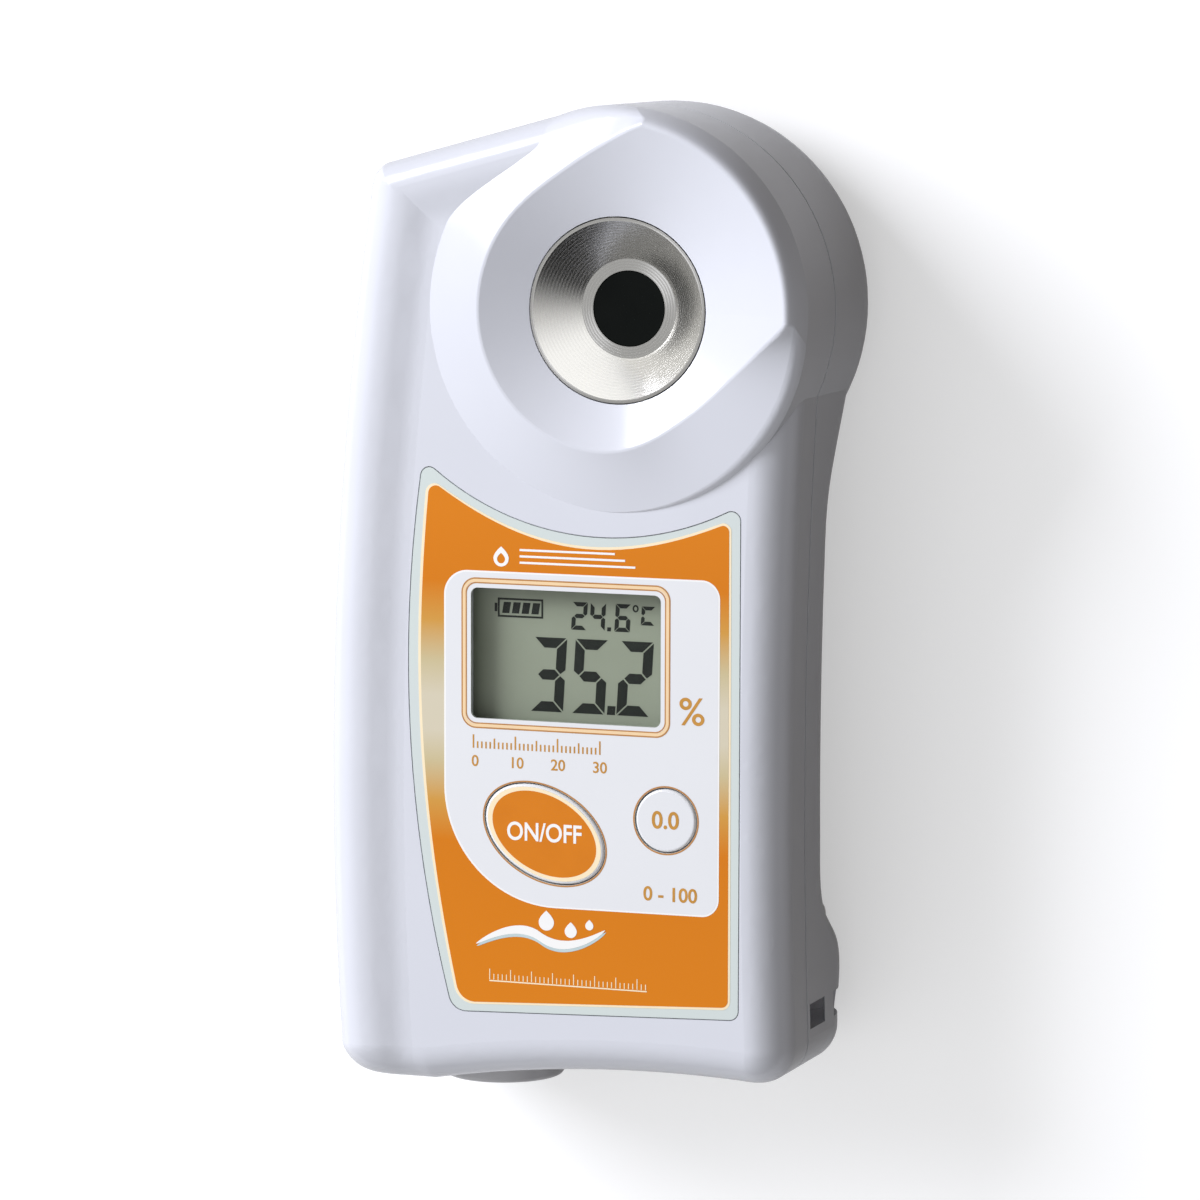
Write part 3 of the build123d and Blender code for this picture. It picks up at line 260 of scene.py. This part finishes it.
circuit_board = finish("circuit_board", (0.02, 0.13, 0.05), rough=0.35)
mottle(circuit_board, (0.03, 0.17, 0.07), (0.015, 0.1, 0.04), size=1.2, detail=0.0)
grain(circuit_board, size=0.6, depth=0.01)

stage_steel = finish("stage_steel", (0.8, 0.79, 0.76), rough=0.26, metal=1.0, Anisotropic=0.7)
turned_rings(stage_steel, pitch=0.3, low=0.2, high=0.3)
turned_round(stage_steel)

prism_glass = finish("prism_glass", (0.003, 0.004, 0.0035), rough=0.03, Specular_IOR_Level=0.15)
mottle(prism_glass, (0.0035, 0.0045, 0.004), (0.0025, 0.0035, 0.003), size=3.0)

lamp_resin = finish("lamp_resin", (0.8, 0.6, 0.2), rough=0.1)
mottle(lamp_resin, (0.82, 0.62, 0.22), (0.78, 0.56, 0.16), size=0.8)

ribbon_film = finish("ribbon_film", (0.45, 0.2, 0.04), rough=0.25)
mottle(ribbon_film, (0.5, 0.23, 0.05), (0.38, 0.16, 0.03), size=0.4)

spring_steel = finish("spring_steel", (0.62, 0.61, 0.58), rough=0.25, metal=1.0)
vary_rough(spring_steel, low=0.2, high=0.35, size=0.6)

CELL_STEEL = (0.5, 0.5, 0.48)
CELL_BLUE = (0.02, 0.035, 0.09)
CELL_GREY = (0.45, 0.45, 0.46)
cell_low, cell_high = (corner[1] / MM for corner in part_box("cell_left"))
cell_jacket = finish("cell_jacket", CELL_BLUE, rough=0.22)
bands(cell_jacket, [
    (0.0, CELL_STEEL), (0.03, CELL_BLUE), (0.68, CELL_BLUE), (0.7, CELL_GREY), (0.94, CELL_GREY),
    (0.96, CELL_STEEL), (1.0, CELL_STEEL),
], low=cell_low, high=cell_high, blend="CONSTANT")
grain(cell_jacket, size=0.6, depth=0.004)

lock_plastic = finish("lock_plastic", (0.52, 0.515, 0.525), rough=0.3)
mottle(lock_plastic, (0.53, 0.525, 0.535), (0.5, 0.495, 0.505), size=3.0)
grain(lock_plastic, size=0.3, depth=0.008)

NODE_FINISHES = (
    (case_plastic, ("front_case", "rear_case", "battery_cover")),
    (grey_rubber, ("case_gasket", "contact_strips", "stage_seal", "sleeve_gasket", "cover_seal")),
    (screw_steel, ("case_screws", "board_screws", "block_screws")),
    (film_border, ("overlay_panel",)),
    (display_window, ("display_window",)),
    (key_film, ("start_key", "zero_key")),
    (black_plastic, ("start_switch", "zero_switch", "lcd_holder", "board_chips", "optical_block",
                     "line_sensor", "temperature_sensor", "battery_sleeve")),
    (display_glass, ("lcd_glass",)),
    (circuit_board, ("main_board", "light_board", "sensor_board")),
    (stage_steel, ("sample_stage",)),
    (prism_glass, ("prism",)),
    (lamp_resin, ("light_source",)),
    (clear_glass, ("source_lens", "imaging_lens")),
    (ribbon_film, ("sensor_ribbon",)),
    (spring_steel, ("terminal_springs", "cover_contact")),
    (cell_jacket, ("cell_left", "cell_right")),
    (lock_plastic, ("battery_lock",)),
)
for material, names in NODE_FINISHES:
    for name in names:
        nodes[name].data.materials.clear()
        nodes[name].data.materials.append(material)

# Outlines of the print, in millimetres

# Handle length of a quarter of a circle of radius 1.
QUARTER_PULL = 0.5523


def corner_points(corners):
    """Two Bezier points for each rounded corner. A corner is (x, y, radius, bow of the side after it)."""
    count = len(corners)
    sides = []
    for i, (x, y, _, bow) in enumerate(corners):
        step = Vector(corners[(i + 1) % count][:2]) - Vector((x, y))
        swing = 2.0 * atan(2.0 * bow / step.length)
        leave = (Matrix.Rotation(-swing, 2) @ step).normalized()
        arrive = (Matrix.Rotation(swing, 2) @ step).normalized()
        sides.append((leave, arrive, step.length / 3.0 / cos(swing)))
    points = []
    for i, (x, y, radius, _) in enumerate(corners):
        _, come, reach_in = sides[i - 1]
        go, _, reach_out = sides[i]
        turn = come.angle(go)
        cut = radius * tan(turn / 2)
        pull = 4.0 / 3.0 * tan(turn / 4) * radius
        spot = Vector((x, y))
        first, last = spot - come * cut, spot + go * cut
        points.append((first, first - come * reach_in, first + come * pull))
        points.append((last, last - go * pull, last + go * reach_out))
    return points


def oval_points(x, y, semi_x, semi_y, tilt=0.0):
    """Four Bezier points of an ellipse."""
    points = []
    turn = Matrix.Rotation(radians(tilt), 2)
    centre = Vector((x, y))
    for quarter in range(4):
        angle = pi / 2 * quarter
        spot = Vector((semi_x * cos(angle), semi_y * sin(angle)))
        along = Vector((-semi_x * sin(angle), semi_y * cos(angle))) * QUARTER_PULL
        points.append((centre + turn @ spot, centre + turn @ (spot - along), centre + turn @ (spot + along)))
    return points


def box_points(left, right, bottom, top, radius):
    """An upright rectangle with rounded corners."""
    return corner_points([
        (left, bottom, radius, 0.0), (right, bottom, radius, 0.0), (right, top, radius, 0.0),
        (left, top, radius, 0.0),
    ])


def grown(box, by):
    """A (left, right, bottom, top) box with this much more on each side."""
    left, right, bottom, top = box
    return (left - by, right + by, bottom - by, top + by)


def sharp(points):
    """An outline with straight sides."""
    return [(Vector(point), Vector(point), Vector(point)) for point in points]


def bar(left, right, bottom, top, lean=0.0):
    """A straight-sided bar whose top leans to the right by this much."""
    return sharp([(left, bottom), (right, bottom), (right + lean, top), (left + lean, top)])


# The bars that are on for each sign: a to f go round from the top, g is the middle one.
DIGIT_PARTS = {"2": "abged", "3": "abgcd", "4": "fgbc", "5": "afgcd", "6": "afgecd", "C": "adef"}
DIGIT_SLANT = radians(3.5)


def digit(sign, left, bottom, width, height, stroke):
    """The bars of one display digit."""
    gap, middle, half = stroke * 0.1, height / 2, stroke / 2
    parts = {
        "a": [(gap, height), (width - gap, height), (width - stroke - gap, height - stroke),
              (stroke + gap, height - stroke)],
        "d": [(gap, 0), (width - gap, 0), (width - stroke - gap, stroke), (stroke + gap, stroke)],
        "e": [(0, gap), (stroke, stroke + gap), (stroke, middle - half - gap), (half, middle - gap),
              (0, middle - half)],
        "f": [(0, height - gap), (stroke, height - stroke - gap), (stroke, middle + half + gap),
              (half, middle + gap), (0, middle + half)],
        "g": [(half + gap, middle), (stroke + gap, middle + half), (width - stroke - gap, middle + half),
              (width - half - gap, middle), (width - stroke - gap, middle - half),
              (stroke + gap, middle - half)],
    }
    parts["b"] = [(width - x, y) for x, y in parts["f"]]
    parts["c"] = [(width - x, y) for x, y in parts["e"]]
    lean = tan(DIGIT_SLANT)
    return [
        sharp([(left + x + y * lean, bottom + y) for x, y in parts[part]]) for part in DIGIT_PARTS[sign]
    ]


def drop(x, y, size):
    """The outline of a falling drop: a circle with its top drawn out to a tip."""
    tip = Vector((x, y + 1.35 * size))
    low = Vector((x, y - size))
    low_pull = Vector((0.52 * size, 0.0))
    flank_x, flank_pull = 0.95 * size, 0.6 * size
    return [
        (tip, tip, tip),
        (Vector((x - flank_x, y)), Vector((x - flank_x, y + flank_pull)),
         Vector((x - flank_x, y - flank_pull))),
        (low, low - low_pull, low + low_pull),
        (Vector((x + flank_x, y)), Vector((x + flank_x, y - flank_pull)),
         Vector((x + flank_x, y + flank_pull))),
    ]


def wave(left, right, y, swell, thick):
    """A band that dips and then swells, and thins out to both ends."""
    span = right - left
    middle = Vector((left + span / 2, y))
    start, end = Vector((left, y - swell)), Vector((right, y + swell))
    half_thick = Vector((0.0, thick / 2))
    reach, climb = Vector((span / 5, 0.0)), Vector((0.0, swell * 1.6))
    return [
        (start, start + Vector((0.2, 0.35)), start + Vector((0.3, -0.2))),
        (middle - half_thick, middle - half_thick - reach + climb, middle - half_thick + reach - climb),
        (end, end - Vector((0.5, 0.9)), end - Vector((0.9, 0.3))),
        (middle + half_thick, middle + half_thick + reach - climb, middle + half_thick - reach + climb),
    ]


# Pieces made of outlines and figures

PRINT_THICK = 0.02


def settle(piece, body, material):
    """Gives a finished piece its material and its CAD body."""
    piece.data.materials.clear()
    piece.data.materials.append(material)
    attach(piece, body)


def mesh_of(source, name, move):
    """The evaluated mesh of an object, moved in millimetres, as a new piece at the origin in metres."""
    scene.collection.objects.link(source)
    bpy.context.view_layer.update()
    mesh = bpy.data.meshes.new_from_object(source.evaluated_get(bpy.context.evaluated_depsgraph_get()))
    bpy.data.objects.remove(source)
    work = bmesh.new()
    work.from_mesh(mesh)
    bmesh.ops.remove_doubles(work, verts=work.verts, dist=1e-4)
    bmesh.ops.recalc_face_normals(work, faces=work.faces)
    bmesh.ops.transform(work, matrix=Matrix.Scale(MM, 4) @ move, verts=work.verts)
    work.to_mesh(mesh)
    work.free()
    piece = bpy.data.objects.new(name, mesh)
    scene.collection.objects.link(piece)
    return piece


def flat_print(name, outlines, height, material, body="case", steps=24):
    """A printed layer with these Bezier outlines, standing at a height. An outline in another is a hole."""
    curve = bpy.data.curves.new(name, "CURVE")
    curve.dimensions = "2D"
    curve.fill_mode = "BOTH"
    curve.resolution_u = steps
    curve.extrude = PRINT_THICK / 2
    for outline in outlines:
        spline = curve.splines.new("BEZIER")
        spline.bezier_points.add(len(outline) - 1)
        spline.use_cyclic_u = True
        for point, (spot, handle_in, handle_out) in zip(spline.bezier_points, outline):
            point.co = (*spot, 0.0)
            point.handle_left = (*handle_in, 0.0)
            point.handle_right = (*handle_out, 0.0)
    lift = Matrix.Translation((0.0, 0.0, height + PRINT_THICK / 2))
    settle(mesh_of(bpy.data.objects.new(name + "_curve", curve), name, lift), body, material)


def flat_bars(name, bars, height, material):
    """A printed layer of straight-sided bars on the case."""
    flat_print(name, bars, height, material, steps=1)


def flat_text(name, text, x, y, size, height, material, body="case", squeeze=1.0, weight=0.0):
    """Printed figures centred at a place."""
    curve = bpy.data.curves.new(name, "FONT")
    curve.body = text
    curve.size = size
    curve.align_x = "CENTER"
    curve.align_y = "CENTER"
    curve.extrude = PRINT_THICK / 2
    curve.offset = weight
    lift = Matrix.Translation((x, y, height + PRINT_THICK / 2)) @ Matrix.Diagonal((squeeze, 1.0, 1.0, 1.0))
    settle(mesh_of(bpy.data.objects.new(name + "_text", curve), name, lift), body, material)


# Where the display view and the keys are, and how high the layers of print lie

# Left, right, bottom and top of the display view.
VIEW = (-17.0, 5.4, -45.65, -31.05)
VIEW_CORNER = 0.8
START_AT = (-8.2, -58.2)
START_SEMI_X, START_SEMI_Y = 7.4, 5.0
START_TILT = -25.0
ZERO_AT = (6.07, -55.9)
ZERO_RADIUS = 3.5
KEY_GAP = 0.15

# Print is just clear of the solid under it. The white lies a little higher than its edge.
PRINT_CLEAR = 0.004
WHITE_CLEAR = 0.006


def top_of(name):
    """Height of a CAD node's highest point."""
    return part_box(name)[1][2] / MM


EDGE_Z = top_of("overlay_panel") + PRINT_CLEAR
ORANGE_Z = EDGE_Z + PRINT_THICK
WHITE_EDGE_Z = ORANGE_Z + PRINT_THICK
WHITE_Z = WHITE_EDGE_Z + WHITE_CLEAR
ON_ORANGE_Z = WHITE_Z
ON_WHITE_Z = WHITE_Z + PRINT_THICK
ON_KEYS_Z = top_of("start_key") + PRINT_CLEAR
ON_DISPLAY_Z = top_of("lcd_glass") + PRINT_CLEAR


def round_start(grow):
    """The start key's outline, this much larger all round."""
    return oval_points(*START_AT, START_SEMI_X + grow, START_SEMI_Y + grow, START_TILT)


def round_zero(grow):
    """The zero key's outline, this much larger all round."""
    return oval_points(*ZERO_AT, ZERO_RADIUS + grow, ZERO_RADIUS + grow)


# Coloured fields of the panel, from its cream edge up to the white

openings = [box_points(*VIEW, VIEW_CORNER), round_start(KEY_GAP), round_zero(KEY_GAP)]
flat_print("print_edge", [
    corner_points([
        (-22.25, -18.85, 1.1, 4.3), (13.5, -22.4, 0.9, 0.0), (13.6, -76.55, 1.0, 0.0),
        (-18.6, -78.0, 2.4, -2.3),
    ]),
    *openings,
], height=EDGE_Z, material=ink_cream)
flat_print("print_orange", [
    corner_points([
        (-21.95, -19.2, 0.9, 4.35), (13.25, -22.75, 0.7, 0.0), (13.35, -76.3, 0.8, 0.0),
        (-18.35, -77.75, 2.2, -2.3),
    ]),
    *openings,
], height=ORANGE_Z, material=film_orange)
flat_print("print_white_edge", [
    corner_points([
        (-20.2, -66.55, 13.2, 0.0), (12.25, -66.35, 2.0, 0.0), (12.25, -29.15, 2.1, 0.0),
        (-20.2, -29.15, 2.8, 0.0),
    ]),
    corner_points([
        (-19.5, -65.85, 12.5, 0.0), (11.55, -65.65, 1.3, 0.0), (11.55, -29.85, 1.4, 0.0),
        (-19.5, -29.85, 2.1, 0.0),
    ]),
], height=WHITE_EDGE_Z, material=ink_white)
flat_print("print_white", [
    corner_points([
        (-20.0, -66.35, 13.0, 0.0), (12.05, -66.15, 1.8, 0.0), (12.05, -29.35, 1.9, 0.0),
        (-20.0, -29.35, 2.6, 0.0),
    ]),
    *openings,
], height=WHITE_Z, material=film_white)


def view_frame(name, outer_by, inner_by, radius, material):
    """A thin frame round the display view, between two distances from it."""
    outer, inner = grown(VIEW, outer_by), grown(VIEW, inner_by)
    inner_radius = radius - (inner[0] - outer[0])
    flat_print(name, [box_points(*outer, radius), box_points(*inner, inner_radius)], ON_WHITE_Z, material)


view_frame("view_frame_outer", outer_by=1.12, inner_by=0.96, radius=1.7, material=ink_brown)
view_frame("view_frame_band", outer_by=0.96, inner_by=0.62, radius=1.5, material=ink_pale)
view_frame("view_frame_inner", outer_by=0.62, inner_by=0.48, radius=1.3, material=ink_brown)

# What the display shows: a battery, the temperature and the reading

# A sheet over the whole view hides the glass's edge, and the segments lie on it.
SEGMENTS_Z = ON_DISPLAY_Z + PRINT_THICK
flat_print("display_sheet", [box_points(*grown(VIEW, 0.9), 0.3)], ON_DISPLAY_Z, display_glass,
           steps=4)

READING_LOW = -44.85
READING_DIGIT = {"width": 3.9, "height": 8.3, "stroke": 1.15}
reading = []
for sign, left in (("3", -10.85), ("5", -5.95), ("2", -0.65)):
    reading += digit(sign, left, READING_LOW, **READING_DIGIT)
reading.append(bar(-1.75, -0.8, READING_LOW, READING_LOW + 1.0, lean=0.08))
flat_bars("display_reading", reading, SEGMENTS_Z, display_segment)

WARMTH_LOW = -35.55
WARMTH_DIGIT = {"width": 1.8, "height": 3.1, "stroke": 0.48}
warmth = []
for sign, left in (("2", -6.0), ("4", -3.85), ("6", -0.9)):
    warmth += digit(sign, left, WARMTH_LOW, **WARMTH_DIGIT)
warmth.append(bar(-1.75, -1.3, WARMTH_LOW, WARMTH_LOW + 0.45, lean=0.03))
warmth += digit("C", left=2.2, bottom=-34.7, width=1.6, height=2.1, stroke=0.42)
flat_bars("display_temperature", warmth, SEGMENTS_Z, display_segment)
DEGREE_AT = (1.6, -32.9)
flat_print("display_degree", [oval_points(*DEGREE_AT, 0.36, 0.42), oval_points(*DEGREE_AT, 0.17, 0.23)],
           SEGMENTS_Z, display_segment, steps=6)

# The battery sign is a hollow box with a knob at its left and four level bars.
BATTERY = (-14.7, -9.3, -34.5, -32.35)
BATTERY_WALL = 0.22
LEVEL_PITCH, LEVEL_WIDTH = 1.16, 0.86
LEVEL_INSET_X, LEVEL_INSET_Y = 0.5, 0.45
battery_left, _, battery_low, battery_high = BATTERY
battery = [
    bar(*BATTERY),
    bar(*grown(BATTERY, -BATTERY_WALL)),
    bar(battery_left - 0.38, battery_left - 0.06, battery_low + 0.6, battery_high - 0.6),
]
for count in range(4):
    level_left = battery_left + LEVEL_INSET_X + LEVEL_PITCH * count
    battery.append(bar(level_left, level_left + LEVEL_WIDTH, battery_low + LEVEL_INSET_Y,
                       battery_high - LEVEL_INSET_Y, lean=0.22))
flat_bars("display_battery", battery, SEGMENTS_Z, display_segment)

# Print on the keys and round them

RING_OUTER, RING_INNER = 0.34, 0.17
flat_print("start_ring", [round_start(RING_OUTER), round_start(RING_INNER)], ON_WHITE_Z, ink_brown)
flat_print("zero_ring", [round_zero(RING_OUTER), round_zero(RING_INNER)], ON_WHITE_Z, ink_brown)

start_field = oval_points(*START_AT, 6.5, 4.3, START_TILT)
flat_print("start_gap", [round_start(-0.32), start_field], ON_KEYS_Z, ink_cream, "start_button")
flat_print("start_oval", [start_field], ON_KEYS_Z, ink_orange, "start_button")
flat_text("start_word", "ON/OFF", x=-8.2, y=-58.15, size=2.85, height=ON_KEYS_Z + PRINT_THICK,
          material=ink_white, body="start_button", squeeze=0.86, weight=0.05)
flat_text("zero_figure", "0.0", x=6.05, y=-55.95, size=2.7, height=ON_KEYS_Z, material=ink_gold,
          body="zero_button", squeeze=0.98, weight=0.05)

# Small print on the white: a sign, a scale and a range

flat_text("percent_sign", "%", x=9.05, y=-43.85, size=4.3, height=ON_WHITE_Z, material=ink_gold,
          squeeze=1.05, weight=0.03)

SCALE_LEFT, SCALE_RIGHT, SCALE_LOW = -16.7, -1.7, -49.0
SCALE_STEPS = 30
SCALE_TICK_HALF = 0.09
FIGURE_LEFT, FIGURE_PITCH = -16.5, 4.93
ticks = []
for count in range(SCALE_STEPS + 1):
    at = SCALE_LEFT + (SCALE_RIGHT - SCALE_LEFT) * count / SCALE_STEPS
    tall = 1.5 if count % 10 == 0 else 1.15 if count % 5 == 0 else 0.75
    ticks.append(bar(at - SCALE_TICK_HALF, at + SCALE_TICK_HALF, SCALE_LOW, SCALE_LOW + tall))
flat_bars("scale_ticks", ticks, ON_WHITE_Z, ink_gold)
for count, figure in enumerate(("0", "10", "20", "30")):
    flat_text("scale_figure_" + figure, figure, x=FIGURE_LEFT + FIGURE_PITCH * count, y=-50.5, size=1.75,
              height=ON_WHITE_Z, material=ink_gold, weight=0.02)

flat_text("range_figures", "0 - 100", x=6.6, y=-64.2, size=2.2, height=ON_WHITE_Z, material=ink_gold,
          weight=0.04)

# Plain ornament on the orange

flat_print("top_drop", [drop(-13.4, -27.65, size=0.95), drop(-13.4, -27.75, size=0.5)], ON_ORANGE_Z,
           ink_white)
top_lines = [bar(-11.2, end, low, low + 0.24) for end, low in ((2.4, -28.2), (1.2, -27.5), (0.0, -26.8))]
flat_bars("top_lines", top_lines, ON_ORANGE_Z, ink_white)

flat_print("wave_shade", [wave(-16.3, -0.9, y=-70.05, swell=1.25, thick=1.3)], ON_ORANGE_Z, ink_shade)
flat_print("wave_line", [wave(-16.4, -1.0, y=-69.8, swell=1.25, thick=1.05)], ON_ORANGE_Z + PRINT_THICK,
           ink_white)
for count, (x, y, size) in enumerate(((-8.0, -68.1, 0.95), (-5.1, -68.95, 0.75), (-2.9, -68.2, 0.5))):
    flat_print(f"wave_drop_{count}", [drop(x, y, size)], ON_ORANGE_Z, ink_white)

RULE_LEFT, RULE_LOW, RULE_PITCH = -14.75, -75.0, 0.5
RULE_TICK_COUNT, RULE_TICK_HALF = 38, 0.05
rule = [bar(-14.8, 3.9, RULE_LOW - 0.2, RULE_LOW - 0.06)]
for count in range(RULE_TICK_COUNT):
    at = RULE_LEFT + RULE_PITCH * count
    tall = 1.2 if count % 5 == 0 else 0.65
    rule.append(bar(at - RULE_TICK_HALF, at + RULE_TICK_HALF, RULE_LOW, RULE_LOW + tall))
flat_bars("rule_ticks", rule, ON_ORANGE_Z, ink_cream)

# Camera

CAMERA_AT = Vector((0.211034, 0.040027, 0.595918))
CAMERA_AIM = Vector((-0.001744, -0.031827, 0.027))
CAMERA_ROLL = radians(0.1286)
CAMERA_LENS = 167.016

camera_data = bpy.data.cameras.new("camera")
camera_data.lens = CAMERA_LENS
camera_data.sensor_width = 36.0
camera_data.clip_start = 0.01
camera_data.clip_end = 20.0
camera = bpy.data.objects.new("camera", camera_data)
scene.collection.objects.link(camera)
ahead = (CAMERA_AIM - CAMERA_AT).normalized()
level = ahead.cross(Vector((0.0, 1.0, 0.0))).normalized()
upright = level.cross(ahead)
right = level * cos(CAMERA_ROLL) + upright * sin(CAMERA_ROLL)
up = upright * cos(CAMERA_ROLL) - level * sin(CAMERA_ROLL)
camera.matrix_world = Matrix.Translation(CAMERA_AT) @ Matrix((right, up, -ahead)).transposed().to_4x4()
scene.camera = camera
scene.view_settings.view_transform = "Standard"

# Floor and light


def blended(tree, factor, low, high):
    """A mix of two colours, each a triple or another node's output."""
    mix = node(tree, "ShaderNodeMix", data_type="RGBA")
    for socket, colour in ((mix.inputs[6], low), (mix.inputs[7], high)):
        if isinstance(colour, tuple):
            socket.default_value = (*colour, 1.0)
        else:
            tree.links.new(colour, socket)
    tree.links.new(factor, mix.inputs["Factor"])
    return mix.outputs[2]


FLOOR_HALF = 3.0
FLOOR_DROP = 0.0002
floor_mesh = bpy.data.meshes.new("floor")
sheet = bmesh.new()
bmesh.ops.create_grid(sheet, x_segments=1, y_segments=1, size=FLOOR_HALF)
bmesh.ops.translate(sheet, vec=(0.0, 0.0, -FLOOR_DROP), verts=sheet.verts)
sheet.to_mesh(floor_mesh)
sheet.free()
floor = bpy.data.objects.new("floor", floor_mesh)
scene.collection.objects.link(floor)

# The floor shows white with a soft shadow, and throws little light back on the object.
GLOW_SEEN, GLOW_MIRRORED = 0.45, 0.1
floor_paint = finish("floor_paint", (0.9, 0.9, 0.9), rough=0.9, Specular_IOR_Level=0.0)
floor_shader = shader_of(floor_paint).inputs
floor_tree = floor_paint.node_tree
floor_rays = node(floor_tree, "ShaderNodeLightPath").outputs
mirrored = either(floor_tree, floor_rays["Is Glossy Ray"], floor_rays["Is Transmission Ray"])
shown = either(floor_tree, floor_rays["Is Camera Ray"], mirrored)
paint = blended(floor_tree, shown, (0.12, 0.105, 0.09), (0.62, 0.62, 0.62))
glow = node(floor_tree, "ShaderNodeMath", {1: GLOW_SEEN}, operation="MULTIPLY")
dim_glow = node(floor_tree, "ShaderNodeMath", {1: GLOW_MIRRORED}, operation="MULTIPLY_ADD")
floor_shader["Emission Color"].default_value = (1.0, 1.0, 1.0, 1.0)
floor_tree.links.new(paint, floor_shader["Base Color"])
floor_tree.links.new(floor_rays["Is Camera Ray"], glow.inputs[0])
floor_tree.links.new(mirrored, dim_glow.inputs[0])
floor_tree.links.new(glow.outputs[0], dim_glow.inputs[2])
floor_tree.links.new(dim_glow.outputs[0], floor_shader["Emission Strength"])
floor_mesh.materials.append(floor_paint)


def graded_room(tree, towards, low, high, dark, bright):
    """A room that brightens towards one direction, between two cosines of the angle to it."""
    direction = node(tree, "ShaderNodeTexCoord")
    facing = node(tree, "ShaderNodeVectorMath", {1: towards}, operation="DOT_PRODUCT")
    shade = node(tree, "ShaderNodeMapRange", {"From Min": low, "From Max": high})
    tree.links.new(direction.outputs["Generated"], facing.inputs[0])
    tree.links.new(facing.outputs["Value"], shade.inputs["Value"])
    return blended(tree, shade.outputs["Result"], dark, bright)


# One room lights the object, another is what its glossy pieces mirror, and the background is white.
world = bpy.data.worlds.new("studio")
world.use_nodes = True
scene.world = world
sky = world.node_tree
rays = node(sky, "ShaderNodeLightPath").outputs
lit_room = graded_room(sky, towards=(-0.55, -0.5, 0.67), low=-0.25, high=0.92,
                       dark=(0.03, 0.022, 0.015), bright=(0.96, 0.97, 1.0))
mirrored_room = graded_room(sky, towards=(0.2, 0.93, 0.3), low=-0.15, high=0.8,
                            dark=(0.02, 0.02, 0.02), bright=(1.2, 1.2, 1.2))
unseen = blended(sky, rays["Is Glossy Ray"], lit_room, mirrored_room)
backdrop = blended(sky, rays["Is Camera Ray"], unseen, (1.0, 1.0, 1.0))
sky.links.new(backdrop, sky.nodes["Background"].inputs["Color"])

KEY_LIGHT_AT = Vector((-0.761, 0.492, 0.618))
KEY_LIGHT_AIM = Vector((-0.007, -0.035, 0.02))
KEY_LIGHT_SIDE = 0.6
key_data = bpy.data.lights.new("key_light", "AREA")
key_data.shape = "RECTANGLE"
key_data.size, key_data.size_y = KEY_LIGHT_SIDE, KEY_LIGHT_SIDE
key_data.energy = 14.0
key_data.color = (0.97, 0.985, 1.06)
key_light = bpy.data.objects.new("key_light", key_data)
scene.collection.objects.link(key_light)
key_light.location = KEY_LIGHT_AT
key_light.rotation_euler = (KEY_LIGHT_AIM - KEY_LIGHT_AT).to_track_quat("-Z", "Y").to_euler()
